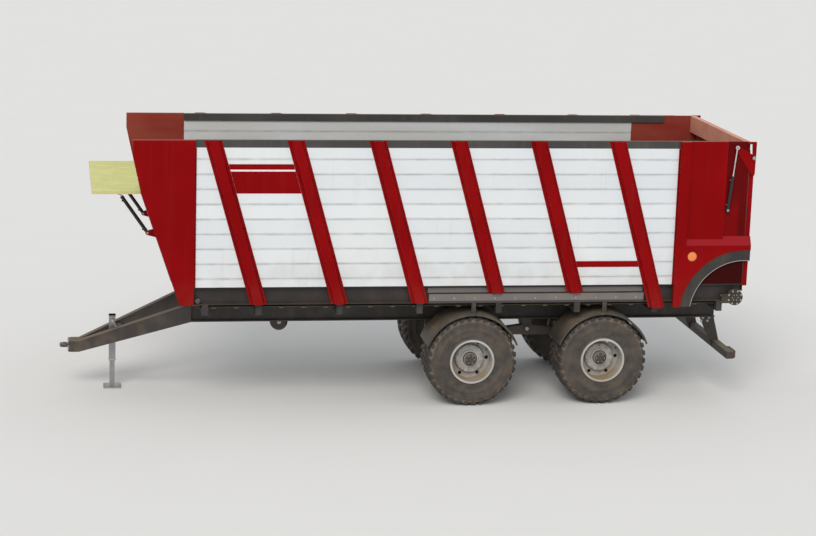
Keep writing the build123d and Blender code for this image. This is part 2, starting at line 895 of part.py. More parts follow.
# Header beam over the gate
with BuildPart() as rear_header:
    box_between(
        (wall_end_x - header_length, -inner_half_width, top_z - header_height),
        (wall_end_x, inner_half_width, top_z),
    )

# Tailgate: a sheet stiffened by a grid of ribs behind it, hung on two side arms
gate_middle_z = (gate_bottom_z + gate_top_z) / 2
gate_pitch_y = (2 * gate_half_width - gate_rib) / gate_columns
gate_pitch_z = (gate_top_z - gate_bottom_z - gate_rib) / gate_rows
with BuildPart() as tailgate:
    with BuildSketch(Plane.YZ.offset(gate_inner_x)):
        with Locations((0, gate_middle_z)):
            Rectangle(2 * gate_half_width, gate_top_z - gate_bottom_z)
    extrude(amount=gate_depth)
    with BuildSketch(Plane.YZ.offset(gate_inner_x + gate_sheet)):
        with Locations((0, gate_middle_z)):
            with GridLocations(gate_pitch_y, gate_pitch_z, gate_columns, gate_rows):
                Rectangle(gate_pitch_y - gate_rib, gate_pitch_z - gate_rib)
    extrude(amount=gate_depth - gate_sheet, mode=Mode.SUBTRACT)
    for side in (-1, 1):
        arm_low = gate_arm_y if side < 0 else -gate_arm_y - gate_arm_thickness
        with BuildSketch(left_plane(arm_low)):
            with Locations(gate_hinge):
                Circle(gate_boss_radius)
            with Locations(gate_head, (gate_hinge[0], gate_arm_foot_z)):
                Circle(gate_arm_round)
            make_hull()
        extrude(amount=gate_arm_thickness)
        with BuildSketch(left_plane(arm_low)):
            with Locations(gate_hinge):
                Circle(gate_pin_radius + pin_fit)
        extrude(amount=gate_arm_thickness, mode=Mode.SUBTRACT)
        spacer_low = gate_half_width if side < 0 else -gate_arm_y
        with BuildSketch(left_plane(spacer_low)):
            with Locations((gate_hinge[0], gate_arm_foot_z + gate_spacer_height / 2 - gate_arm_round)):
                Rectangle(gate_spacer_length, gate_spacer_height)
        extrude(amount=gate_arm_y - gate_half_width)
        # Boss beside the eye of the cylinder's rod
        arm_face_y = gate_arm_y + gate_arm_thickness
        boss_length = gate_cylinder_y - gate_eye_width / 2 - boss_gap - arm_face_y
        boss_low = arm_face_y if side < 0 else -arm_face_y - boss_length
        with BuildSketch(left_plane(boss_low)):
            with Locations(gate_head):
                Circle(gate_cylinder_pin_radius)
        extrude(amount=boss_length)


def wheel_plane(axle_x, side):
    """The plane through a wheel's axis: X out of the machine, Y up."""
    return Plane(
        origin=(axle_x, side * track / 2, tyre_radius),
        x_dir=(0, side, 0),
        z_dir=(side, 0, 0),
    )


def build_tyre(axle_x, side):
    """A wide low-pressure tyre: bead, upright walls, sloping shoulders and flat crown."""
    half_outline = [
        (tyre_width / 2, bead_radius),
        (tyre_width / 2, tyre_radius - shoulder_drop),
        (tread_width / 2, tyre_radius),
    ]
    place = wheel_plane(axle_x, side)
    with BuildPart() as tyre:
        with BuildSketch(place):
            with BuildLine():
                Polyline(half_outline + [(-x, radius) for x, radius in reversed(half_outline)], close=True)
            make_face()
        revolve(axis=Axis(place.origin, place.x_dir))
    return tyre


def build_rim(axle_x, side):
    """A rim with its flanges on the tyre's walls, dished disc, hub, hub cap and brake drum."""
    half_bead = tyre_width / 2
    flange_x = half_bead + rim_thickness
    flange_radius = bead_radius + rim_flange_height
    well = bead_radius - rim_thickness
    disc_face = rim_disc_place + rim_disc_thickness
    place = wheel_plane(axle_x, side)
    outline = [
        (-flange_x, flange_radius),
        (-half_bead, flange_radius),
        (-half_bead, bead_radius),
        (half_bead, bead_radius),
        (half_bead, flange_radius),
        (flange_x, flange_radius),
        (flange_x, well),
        (disc_face, well),
        (disc_face, rim_dish_radius),
        (disc_face + rim_dish_depth, stud_ring_radius),
        (disc_face + rim_dish_depth, hub_radius),
        (hub_reach, hub_radius),
        (hub_reach, hub_cap_radius),
        (hub_reach + hub_cap_length, hub_cap_radius),
        (hub_reach + hub_cap_length, 0),
        (hub_reach, 0),
        (hub_reach, axle_stub_radius + axle_stub_fit),
        (drum_from, axle_stub_radius + axle_stub_fit),
        (drum_from, drum_radius),
        (drum_to, drum_radius),
        (drum_to, hub_radius),
        (rim_disc_place + rim_dish_depth, hub_radius),
        (rim_disc_place + rim_dish_depth, stud_ring_radius),
        (rim_disc_place, rim_dish_radius),
        (rim_disc_place, well),
        (-flange_x, well),
    ]
    with BuildPart() as rim:
        with BuildSketch(place):
            with BuildLine():
                Polyline(outline, close=True)
            make_face()
        revolve(axis=Axis(place.origin, place.x_dir))
        hole_plane = Plane(origin=place.origin, x_dir=(1, 0, 0), z_dir=place.x_dir)
        with BuildSketch(hole_plane):
            with PolarLocations(hand_hole_circle, hand_hole_count):
                Circle(hand_hole_radius)
        extrude(amount=half_bead, mode=Mode.SUBTRACT)
    return rim


wheel_names = [
    (f"{row}_{side_name}", axle_x, side)
    for row, axle_x in zip(("front", "rear"), axle_places_x)
    for side_name, side in (("left", -1), ("right", 1))
]
tyres = {f"tyre_{name}": build_tyre(axle_x, side) for name, axle_x, side in wheel_names}
rims = {f"rim_{name}": build_rim(axle_x, side) for name, axle_x, side in wheel_names}

# Axles: square tubes with a turned stub at each end
seat_z = tyre_radius + axle_beam / 2


def build_axle(axle_x):
    """A dead axle beam with its stubs inside the hubs, its spring seats and its brake gear."""
    chamber_z = tyre_radius + chamber_rise
    camshaft = (axle_x + camshaft_setback, tyre_radius)
    lever_end = (camshaft[0], chamber_z)
    chamber_x = axle_x + chamber_setback
    plate_y = chamber_y + chamber_radius
    with BuildPart() as axle:
        box_between(
            (axle_x - axle_beam / 2, -axle_beam_end, tyre_radius - axle_beam / 2),
            (axle_x + axle_beam / 2, axle_beam_end, tyre_radius + axle_beam / 2),
        )
        with BuildSketch(left_plane(-track / 2 - hub_reach)):
            with Locations((axle_x, tyre_radius)):
                Circle(axle_stub_radius)
        extrude(amount=track + 2 * hub_reach)
        for seat_y in (-beam_y, beam_y):
            with Locations((axle_x, seat_y, seat_z + spring_seat / 2)):
                Box(axle_beam, spring_width, spring_seat)
        for side in (-1, 1):
            # The camshaft runs from the drum past the lever to its bearing plate
            shaft_end_y = track / 2 + drum_from - camshaft_end_gap
            with BuildSketch(left_plane(side * chamber_y)):
                with Locations(camshaft):
                    Circle(camshaft_radius)
            extrude(amount=side * (shaft_end_y - chamber_y))
            with BuildSketch(left_plane(side * chamber_y - lever_thickness / 2)):
                with Locations(camshaft):
                    Circle(lever_hub_radius)
                with Locations(lever_end):
                    Circle(lever_end_radius)
                make_hull()
            extrude(amount=lever_thickness)
            for bearing_y in (chamber_y + lever_hub_radius, axle_beam_end - lever_hub_radius):
                with BuildSketch(left_plane(side * bearing_y - lever_thickness / 2)):
                    with Locations(camshaft):
                        Circle(lever_hub_radius)
                    with Locations((axle_x + axle_beam / 2, tyre_radius)):
                        Rectangle(lever_thickness, axle_beam)
                    make_hull()
                extrude(amount=lever_thickness)
            # The chamber on its plate, with the push rod to the lever
            with BuildSketch(Plane.YZ.offset(lever_end[0])):
                with Locations((-side * chamber_y, chamber_z)):
                    Circle(push_rod_radius)
            extrude(amount=chamber_setback - camshaft_setback)
            with BuildSketch(Plane.YZ.offset(chamber_x - chamber_plate)):
                with Locations((-side * chamber_y, chamber_z)):
                    Rectangle(2 * chamber_radius, 2 * chamber_radius)
            extrude(amount=chamber_plate)
            with BuildSketch(Plane.YZ.offset(chamber_x)):
                with Locations((-side * chamber_y, chamber_z)):
                    Circle(chamber_radius)
            extrude(amount=chamber_length - chamber_round)
            with BuildSketch(Plane.YZ.offset(chamber_x + chamber_length - chamber_round)):
                with Locations((-side * chamber_y, chamber_z)):
                    Circle(chamber_radius)
            extrude(amount=chamber_round, taper=chamber_slope)
            with BuildSketch(left_plane(side * plate_y - (chamber_plate if side > 0 else 0))):
                with BuildLine():
                    Polyline(
                        [
                            (axle_x, tyre_radius + axle_beam / 2),
                            (axle_x + axle_beam / 2, tyre_radius + axle_beam / 2),
                            (chamber_x, chamber_z - chamber_radius),
                            (chamber_x, chamber_z + chamber_radius),
                        ],
                        close=True,
                    )
                make_face()
            extrude(amount=chamber_plate)
    return axle


axle_front = build_axle(axle_places_x[0])
axle_rear = build_axle(axle_places_x[1])

# Leaf springs, the rocker between them and the hangers on the beams
spring_radius = (spring_half_length**2 + spring_rise**2) / (2 * spring_rise)
spring_foot_z = seat_z + spring_seat
main_leaf_z = spring_foot_z + (leaf_count - 1) * leaf_thickness
spring_eye_z = main_leaf_z + spring_rise
eye_places_x = [x + side * spring_half_length for x in axle_places_x for side in (-1, 1)]
rocker_x = (eye_places_x[1] + eye_places_x[2]) / 2
spring_eyes = [(x, spring_eye_z) for x in eye_places_x]
clamp_top_z = main_leaf_z + leaf_thickness + spring_clamp_thickness


def arc_band(centre, radii, half_angle, up):
    """Face between two arcs about a centre, over it where up is 1 and under it where up is -1."""
    arcs = []
    for radius in radii:
        run = radius * sin(half_angle)
        rise = radius * cos(half_angle)
        arcs.append(
            [
                (centre[0] - run, centre[1] + up * rise),
                (centre[0], centre[1] + up * radius),
                (centre[0] + run, centre[1] + up * rise),
            ]
        )
    with BuildLine() as band:
        ThreePointArc(*arcs[0])
        ThreePointArc(*arcs[1])
        Line(arcs[0][0], arcs[1][0])
        Line(arcs[0][2], arcs[1][2])
    make_face(band.edges())


with BuildPart() as leaf_springs:
    for axle_x in axle_places_x:
        with BuildSketch(left_plane(beam_y - spring_width / 2)):
            for number in range(leaf_count):
                leaf_top = spring_radius + (number - 1) * leaf_thickness
                leaf_angle = asin(spring_half_length * (1 - leaf_step * number) / spring_radius)
                arc_band(
                    (axle_x, main_leaf_z + spring_radius),
                    (leaf_top, leaf_top + leaf_thickness),
                    leaf_angle,
                    -1,
                )
            with Locations(
                (axle_x - spring_half_length, spring_eye_z),
                (axle_x + spring_half_length, spring_eye_z),
            ):
                Circle(spring_eye_radius)
        extrude(amount=spring_width)
        box_between(
            (axle_x - spring_clamp_length / 2, -beam_y - spring_width / 2, main_leaf_z),
            (axle_x + spring_clamp_length / 2, -beam_y + spring_width / 2, clamp_top_z),
        )
    with BuildSketch(left_plane(beam_y - spring_width / 2)):
        with Locations(*spring_eyes):
            Circle(spring_pin_radius + pin_fit)
    extrude(amount=spring_width, mode=Mode.SUBTRACT)
    mirror(about=Plane.XZ)

with BuildPart() as spring_hangers:
    for cheek_y in (beam_y - spring_width / 2 - hanger_plate, beam_y + spring_width / 2):
        for eye_x_place in (eye_places_x[0], eye_places_x[3]):
            with BuildSketch(left_plane(cheek_y)):
                with Locations((eye_x_place, spring_eye_z)):
                    Circle(rocker_end_radius)
                with Locations((eye_x_place, beam_bottom_z - hanger_plate / 2)):
                    Rectangle(spring_hanger_top, hanger_plate)
                make_hull()
            extrude(amount=hanger_plate)
        with BuildSketch(left_plane(cheek_y)):
            with Locations((eye_places_x[1], spring_eye_z), (eye_places_x[2], spring_eye_z)):
                Circle(rocker_end_radius)
            with Locations((rocker_x, beam_bottom_z - rocker_pin_drop)):
                Circle(rocker_hub_radius)
            make_hull()
        extrude(amount=hanger_plate)
    with BuildSketch(left_plane(beam_y - spring_width / 2)):
        with Locations(*spring_eyes):
            Circle(spring_pin_radius)
    extrude(amount=spring_width)
    # The middle hanger between the rocker's plates
    with BuildSketch(left_plane(beam_y - spring_width / 2)):
        with Locations((rocker_x, beam_bottom_z - rocker_pin_drop)):
            Circle(rocker_hub_radius)
        with Locations((rocker_x, beam_bottom_z - hanger_plate / 2)):
            Rectangle(spring_hanger_top, hanger_plate)
        make_hull()
    extrude(amount=spring_width)
    mirror(about=Plane.XZ)

# Main beams: I sections under the body
with BuildPart() as main_beam_left:
    with BuildSketch(Plane.YZ.offset(beam_front_x)):
        with Locations((-beam_y, beam_bottom_z + beam_height / 2)):
            Rectangle(beam_width, beam_height)
            for side in (-1, 1):
                with Locations((side * (beam_width + beam_web) / 4, 0)):
                    Rectangle(
                        (beam_width - beam_web) / 2,
                        beam_height - 2 * beam_flange,
                        mode=Mode.SUBTRACT,
                    )
    extrude(amount=beam_rear_x - beam_front_x)
main_beam_right = right_copy(main_beam_left)

# Cross members between the beams' webs
cross_member_z = beam_bottom_z + beam_height / 2
first_member_x = beam_front_x + first_member_setback
tandem_member_x = rocker_x - tandem_member_reach
front_member_pitch = (tandem_member_x - first_member_x) / front_member_count
cross_member_places_x = [
    first_member_x + number * front_member_pitch for number in range(front_member_count)
]
cross_member_places_x += [
    tandem_member_x,
    rocker_x,
    rocker_x + tandem_member_reach,
    beam_rear_x - last_member_setback,
]
with BuildPart() as cross_members:
    for place_x in cross_member_places_x:
        with Locations((place_x, 0, cross_member_z)):
            Box(cross_member_width, 2 * beam_y - beam_web, cross_member_height)

# Bearers across the beams, each with an upright under either sill
bearer_places_x = [
    first_post_x + number * post_pitch + post_run * (wall_top_z - sill_bottom_z)
    for number in range(post_count)
]
bearer_places_x.insert(0, front_joint_x + front_bearer_inset)
bearer_places_x.append(wall_end_x - rear_bearer_inset)
with BuildPart() as bearers:
    for place_x in bearer_places_x:
        box_between(
            (place_x - bearer_width / 2, -wall_outer_y, beam_top_z),
            (place_x + bearer_width / 2, wall_outer_y, bearer_top_z),
        )
        for side in (-1, 1):
            low_y, high_y = sorted((side * sill_inner_y, side * wall_outer_y))
            box_between(
                (place_x - bearer_width / 2, low_y, bearer_top_z),
                (place_x + bearer_width / 2, high_y, sill_bottom_z),
            )

# Mudguards: an arc over each wheel, hung on a plate from the strip along the sill
guard_radius = tyre_radius + guard_tyre_gap
guard_inner_y = (track - tyre_width) / 2 - guard_overhang
guard_outer_y = side_y - guard_side_inset
guard_strip_y = wall_outer_y + guard_strip_sheet
with BuildPart() as mudguards:
    for axle_x in axle_places_x:
        for inner_radius, low_y in (
            (guard_radius, guard_inner_y),
            (guard_radius - guard_lip, guard_outer_y - guard_sheet),
        ):
            with BuildSketch(left_plane(low_y)):
                arc_band(
                    (axle_x, tyre_radius),
                    (inner_radius, guard_radius + guard_sheet),
                    radians(guard_half_angle),
                    1,
                )
            extrude(amount=guard_outer_y - low_y)
        box_between(
            (axle_x - guard_stay_length / 2, -guard_strip_y, tyre_radius + guard_radius + guard_sheet / 2),
            (axle_x + guard_stay_length / 2, -wall_outer_y, sill_bottom_z),
        )
    box_between(
        (axle_places_x[0] - guard_strip_front_reach, -guard_strip_y, sill_bottom_z),
        (axle_places_x[1] + guard_strip_rear_reach, -wall_outer_y, sill_bottom_z + guard_strip_height),
    )
    mirror(about=Plane.XZ)

# Drawbar: two box legs that meet at the nose, with the bar that carries the jack
nose_front_x = eye_x + nose_gap
nose_rear_x = nose_front_x + nose_length
leg_nose_y = (nose_width - leg_width) / 2
jack_bar_x = beam_front_x - jack_bar_reach
with BuildPart() as drawbar:
    for side in (-1, 1):
        with BuildSketch(Plane.YZ.offset(beam_front_x)):
            with Locations((side * beam_y, beam_bottom_z + beam_height / 2)):
                Rectangle(leg_width, beam_height)
        with BuildSketch(Plane.YZ.offset(nose_rear_x)):
            with Locations((side * leg_nose_y, eye_z)):
                Rectangle(leg_width, nose_height)
        loft()
    box_between(
        (nose_front_x, -nose_width / 2, eye_z - nose_height / 2),
        (nose_rear_x, nose_width / 2, eye_z + nose_height / 2),
    )
    # The bar between the legs, at their own height there
    bar_share = (beam_front_x - jack_bar_x) / (beam_front_x - nose_rear_x)
    bar_z = beam_bottom_z + beam_height / 2 + bar_share * (eye_z - beam_bottom_z - beam_height / 2)
    bar_half = beam_y + bar_share * (leg_nose_y - beam_y)
    box_between(
        (jack_bar_x - jack_bar_length / 2, -bar_half, bar_z - jack_bar_height / 2),
        (jack_bar_x + jack_bar_length / 2, bar_half, bar_z + jack_bar_height / 2),
    )

# Towing eye: a bolted plate, a shank and the ring
with BuildPart() as drawbar_eye:
    box_between(
        (nose_front_x - eye_plate_thickness, -eye_plate_width / 2, eye_z - nose_height / 2),
        (nose_front_x, eye_plate_width / 2, eye_z + nose_height / 2),
    )
    with BuildSketch(Plane.XY.offset(eye_z - eye_thickness / 2)):
        with Locations((eye_x, 0)):
            Circle(eye_radius)
        with Locations(((eye_x + nose_front_x) / 2, 0)):
            Rectangle(nose_front_x - eye_x, eye_shank_width)
        with Locations((eye_x, 0)):
            Circle(eye_hole_radius, mode=Mode.SUBTRACT)
    extrude(amount=eye_thickness)

# Parking jack: a fixed tube on the drawbar's bar, its leg down on the ground
jack_x = jack_bar_x - jack_bar_length / 2 - jack_tube / 2
with BuildPart() as parking_jack:
    box_between(
        (jack_x - jack_tube / 2, -jack_tube / 2, jack_tube_bottom_z),
        (jack_x + jack_tube / 2, jack_tube / 2, jack_tube_top_z),
    )
    box_between(
        (jack_x - jack_leg / 2, -jack_leg / 2, 0),
        (jack_x + jack_leg / 2, jack_leg / 2, jack_tube_bottom_z),
    )
    box_between(
        (jack_x - jack_foot / 2, -jack_foot / 2, 0),
        (jack_x + jack_foot / 2, jack_foot / 2, jack_foot_thickness),
    )
    with BuildSketch(left_plane(jack_tube / 2)):
        with Locations((jack_x, jack_tube_top_z - jack_tube / 2)):
            Circle(jack_crank_radius)
    extrude(amount=jack_crank_length)

# Rear bumper on two plates under the beams
bumper_x = rear_x - bumper_rear_gap - bumper_section / 2
bumper_half_length = side_y - bumper_side_inset
rear_lamp_y = bumper_half_length - rear_lamp_inset
with BuildPart() as rear_bumper:
    with Locations((bumper_x, 0, bumper_z)):
        Box(bumper_section, 2 * bumper_half_length, bumper_section)
    for side in (-1, 1):
        with BuildSketch(left_plane(side * beam_y - bumper_plate / 2)):
            with Locations((bumper_x, bumper_z)):
                Rectangle(bumper_section, bumper_section)
            with Locations((beam_rear_x - bumper_section, beam_bottom_z - bumper_plate / 2)):
                Rectangle(2 * bumper_section, bumper_plate)
            make_hull()
        extrude(amount=bumper_plate)

with BuildPart() as rear_lamps:
    for side in (-1, 1):
        with Locations(
            (bumper_x + (bumper_section + rear_lamp_depth) / 2, side * rear_lamp_y, bumper_z)
        ):
            Box(rear_lamp_depth, rear_lamp_width, rear_lamp_height)

# Air tank hung under a cross member
tank_x = first_member_x + front_member_pitch
tank_top_z = cross_member_z - cross_member_height / 2
with BuildPart() as air_tank:
    with BuildSketch(left_plane(-tank_half_length)):
        with Locations((tank_x, tank_top_z - tank_radius)):
            Circle(tank_radius)
    extrude(amount=2 * tank_half_length)
    chamfer(air_tank.edges().filter_by(GeomType.CIRCLE), length=tank_end_depth, length2=tank_end_slope)
    for saddle_y in (-tank_saddle_y, tank_saddle_y):
        with Locations((tank_x, saddle_y, tank_top_z - tank_saddle_length / 4)):
            Box(tank_saddle_length, tank_saddle_width, tank_saddle_length / 2)

# Ladder on two ribs of the front wall
with BuildPart() as front_ladder:
    with BuildSketch(front_plane):
        for rib in (0, -1):
            with Locations((rib * front_rib_pitch, front_wall_length / 2)):
                Rectangle(ladder_stringer, front_wall_length - 2 * ladder_start)
    extrude(amount=ladder_stringer)
    with BuildSketch(front_plane):
        with Locations((-front_rib_pitch / 2, front_wall_length / 2)):
            with GridLocations(1, ladder_rung_pitch, 1, ladder_rungs):
                Rectangle(front_rib_pitch, ladder_rung)
    extrude(amount=ladder_rung)

pieces = {
    "sill_left": sill_left,
    "sill_right": sill_right,
    "floor_deck": floor_deck,
    "floor_belt": floor_belt,
    "belt_rollers": belt_rollers,
    "belt_drives": belt_drives,
    "side_wall_left": side_wall_left,
    "side_wall_right": side_wall_right,
    "top_rail_left": top_rail_left,
    "top_rail_right": top_rail_right,
    "posts_left": posts_left,
    "posts_right": posts_right,
    "front_panel_left": front_panel_left,
    "front_panel_right": front_panel_right,
    "front_wall": front_wall,
    "front_flap": front_flap,
    "flap_barrels": flap_barrels,
    "flap_rods": flap_rods,
    "rear_side_left": rear_side_left,
    "rear_side_right": rear_side_right,
    "gate_hangers": gate_hangers,
    "arch_guards": arch_guards,
    "side_lamps": side_lamps,
    "rear_header": rear_header,
    "tailgate": tailgate,
    "gate_barrels": gate_barrels,
    "gate_rods": gate_rods,
    "axle_front": axle_front,
    "axle_rear": axle_rear,
    "leaf_springs": leaf_springs,
    "spring_hangers": spring_hangers,
    "main_beam_left": main_beam_left,
    "main_beam_right": main_beam_right,
    "cross_members": cross_members,
    "bearers": bearers,
    "mudguards": mudguards,
    "drawbar": drawbar,
    "drawbar_eye": drawbar_eye,
    "parking_jack": parking_jack,
    "rear_bumper": rear_bumper,
    "rear_lamps": rear_lamps,
    "air_tank": air_tank,
    "front_ladder": front_ladder,
    **tyres,
    **rims,
}

os.makedirs("parts", exist_ok=True)
for name, piece in pieces.items():
    piece.part.label = name
    export_step(piece.part, f"parts/{name}.step")
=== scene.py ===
import math

import bmesh
import bpy
from bpy.props import FloatProperty, FloatVectorProperty, IntProperty, PointerProperty
from mathutils import Matrix, Vector


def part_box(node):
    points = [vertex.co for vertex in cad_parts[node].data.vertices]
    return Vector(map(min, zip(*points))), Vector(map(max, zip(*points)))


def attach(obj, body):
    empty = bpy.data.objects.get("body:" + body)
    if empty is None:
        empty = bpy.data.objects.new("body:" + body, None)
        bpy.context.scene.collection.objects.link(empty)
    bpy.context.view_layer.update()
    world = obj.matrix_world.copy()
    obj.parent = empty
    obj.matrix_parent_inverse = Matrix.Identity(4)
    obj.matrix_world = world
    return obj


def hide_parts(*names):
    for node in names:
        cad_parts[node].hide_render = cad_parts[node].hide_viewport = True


bl_info = {
    "name": "Silage Wagon Finish",
    "version": (1, 0, 0),
    "blender": (4, 5, 0),
    "location": "3D View > Sidebar > Wagon",
    "description": "Paints a silage wagon's frame and adds its tyres, bolts, lamps and trim",
    "category": "Object",
}

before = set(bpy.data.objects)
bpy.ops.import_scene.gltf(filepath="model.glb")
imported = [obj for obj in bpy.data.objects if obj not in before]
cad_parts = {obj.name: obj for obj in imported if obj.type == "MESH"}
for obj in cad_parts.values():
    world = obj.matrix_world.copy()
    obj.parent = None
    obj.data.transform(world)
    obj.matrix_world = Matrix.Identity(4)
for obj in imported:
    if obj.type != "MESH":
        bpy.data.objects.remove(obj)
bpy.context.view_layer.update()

SIDES = (("left", -1), ("right", 1))
WHEELS = [f"{row}_{side}" for row in ("front", "rear") for side, _ in SIDES]

# The belt's slats: how many, and from one to the next
SLATS = 24
SLAT_PITCH = 0.300

# The dusty strip over the wheels: its ends along the wagon, its bottom and top, and the height below which
# its face is painted in shade
STRIP_ENDS = (0.232, 3.198)
STRIP_HEIGHTS = (1.436, 1.558)
STRIP_PAINTED_SHADE_BELOW = 1.468

# The middle of the rear arches, seen from the side
ARCH_CENTRE = (4.58, 0.0, 1.265)


def colour_of(red, green, blue):
    """A linear colour from an sRGB one that is given from 0 to 255."""
    return tuple(((part / 255 + 0.055) / 1.055) ** 2.4 for part in (red, green, blue))


# Sizes and colours that a user would change


def paint_colour(name, description, red, green, blue):
    """A colour property with its default given in sRGB."""
    return FloatVectorProperty(
        name=name, description=description, default=colour_of(red, green, blue), min=0.0, max=1.0, size=3,
        subtype="COLOR",
    )


def length(name, description, default):
    """A length property in metres."""
    return FloatProperty(
        name=name, description=description, default=default, min=0.0, subtype="DISTANCE", unit="LENGTH"
    )


def angle(name, description, degrees):
    """An angle property with its default given in degrees."""
    return FloatProperty(
        name=name, description=description, default=math.radians(degrees), subtype="ANGLE", unit="ROTATION"
    )


def brightness(name, description, default):
    """A light's strength."""
    return FloatProperty(name=name, description=description, default=default, min=0.0)


class WagonPaint(bpy.types.PropertyGroup):
    """Colours of the wagon's finishes."""

    red: paint_colour("Red", "Paint of the posts, front and rear", 127, 2, 7)
    red_faded: paint_colour("Faded red", "Weathered patches of the red paint", 137, 6, 11)
    board: paint_colour("Board", "Paint of the wall boards", 219, 223, 226)
    rail: paint_colour("Rail", "Paint of the top rails", 62, 61, 60)
    # The sills' colour is set darker as painted shade, for the shade under the walls
    sill: paint_colour("Sill", "Paint of the sills", 42, 38, 38)
    chassis: paint_colour("Chassis", "Paint of the beams, axles and drawbar", 44, 43, 45)
    drive: paint_colour("Drive", "Paint of the belt's drives", 30, 27, 27)
    cylinder: paint_colour("Cylinder", "Paint of the cylinders", 34, 34, 36)
    guard: paint_colour("Guard", "Plastic of the mudguards", 46, 45, 42)
    arch: paint_colour("Arch", "Plastic of the arch guards", 33, 31, 30)
    strip: paint_colour("Strip", "Dusty strip along the sill over the wheels", 106, 101, 99)
    rubber: paint_colour("Rubber", "Rubber of the tyres, the belt and the seals", 30, 30, 31)
    rim: paint_colour("Rim", "Paint of the rims", 188, 188, 186)
    zinc: paint_colour("Zinc", "Galvanised ladder and jack", 158, 160, 162)
    bolt_zinc: paint_colour("Bolt zinc", "Galvanised bolts and nuts", 176, 176, 172)
    dust: paint_colour("Dust", "Field dust", 150, 130, 106)
    chaff: paint_colour("Chaff", "Dried crop on the flap", 202, 203, 134)
    stain: paint_colour("Stain", "Crop juice inside the load space", 128, 112, 74)
    orange: paint_colour("Orange", "Lens of the side lamps", 232, 136, 62)
    lens_red: paint_colour("Lens red", "Lens of the tail lamps", 168, 14, 16)
    lens_clear: paint_colour("Lens clear", "Clear lens of the tail lamps", 226, 228, 230)
    plate: paint_colour("Plate", "Line on the blank plate", 228, 229, 228)
    floor: paint_colour("Floor", "Floor of the stage", 222, 221, 218)


class WagonBody(bpy.types.PropertyGroup):
    """Places of the boards and posts, as the frame has them."""

    board_pitch: length("Board pitch", "From one board joint to the next", 0.2)
    lowest_joint: length("Lowest joint", "Height of the lowest board joint", 1.784)
    post_pitch: length("Post pitch", "From one post to the next", 1.083)
    bolt_size: length("Bolt size", "Across the flats of the posts' bolts", 0.017)


class WagonTread(bpy.types.PropertyGroup):
    """Sizes of the tyres' tread."""

    depth: length("Tread depth", "Height of the tread's blocks", 0.019)
    pitches: IntProperty(
        name="Pitches", description="Blocks around the tyre in each row", default=34, min=8, max=60
    )
    slant: angle("Slant", "Turn of the blocks from straight across", 33)


class WagonStage(bpy.types.PropertyGroup):
    """The camera's lens and turn, and the light."""

    lens: FloatProperty(
        name="Lens", description="Focal length", default=89.3, min=10.0, subtype="DISTANCE_CAMERA"
    )
    roll: angle("Roll", "Turn of the camera", 1.5)
    sky: brightness("Sky", "Strength of the light from all round", 0.70)
    sun: brightness("Sun", "Strength of the soft light from above", 1.85)


# Second tones that the finishes mix in
TONES = {
    name: colour_of(*shade)
    for name, shade in {
        "bare edge": (92, 84, 80),
        "film on red": (138, 78, 64),
        "painted highlight, ledge": (146, 34, 40),
        "painted shade, red": (34, 9, 9),
        "dust on header": (218, 156, 132),
        "sill, lighter band": (136, 130, 127),
        "board, greyed": (205, 211, 214),
        "board, warm": (226, 228, 224),
        "joint grime": (128, 124, 116),
        "run of dirt": (150, 144, 128),
        "chaff, darker": (196, 195, 125),
        "chaff, paler": (208, 207, 144),
        "rubber, worn": (46, 45, 45),
        "slat, bright": (150, 146, 138),
        "slat, rusty": (112, 98, 80),
        "chrome": (214, 215, 218),
        "chrome, oily": (186, 184, 178),
        "steel": (96, 92, 88),
        "steel, rusty": (66, 54, 46),
        "orange, deep": (214, 104, 40),
        "lens red, deep": (110, 6, 8),
        "lens clear, deep": (176, 180, 184),
        "plate, greyed": (222, 222, 220),
    }.items()
}


# Finishes: procedural materials


class Tree:
    """A node tree, with short calls that make and link its nodes."""

    def __init__(self, owner):
        owner.use_nodes = True
        self.tree = owner.node_tree

    def node(self, kind, inputs=None, **settings):
        """A new node with its settings, and its inputs linked or set."""
        made = self.tree.nodes.new(kind)
        for setting, value in settings.items():
            setattr(made, setting, value)
        for key, value in (inputs or {}).items():
            self.feed(made.inputs[key], value)
        return made

    def feed(self, socket, value):
        """Links a socket to another's output, or sets its own value."""
        if isinstance(value, bpy.types.NodeSocket):
            self.tree.links.new(value, socket)
        elif socket.type == "RGBA":
            socket.default_value = (*value[:3], 1.0)
        else:
            socket.default_value = value

    def maths(self, operation, first, *others):
        """One kind of arithmetic, from each value to the next."""
        for other in others or (0.0,):
            first = self.node("ShaderNodeMath", {0: first, 1: other}, operation=operation).outputs[0]
        return first


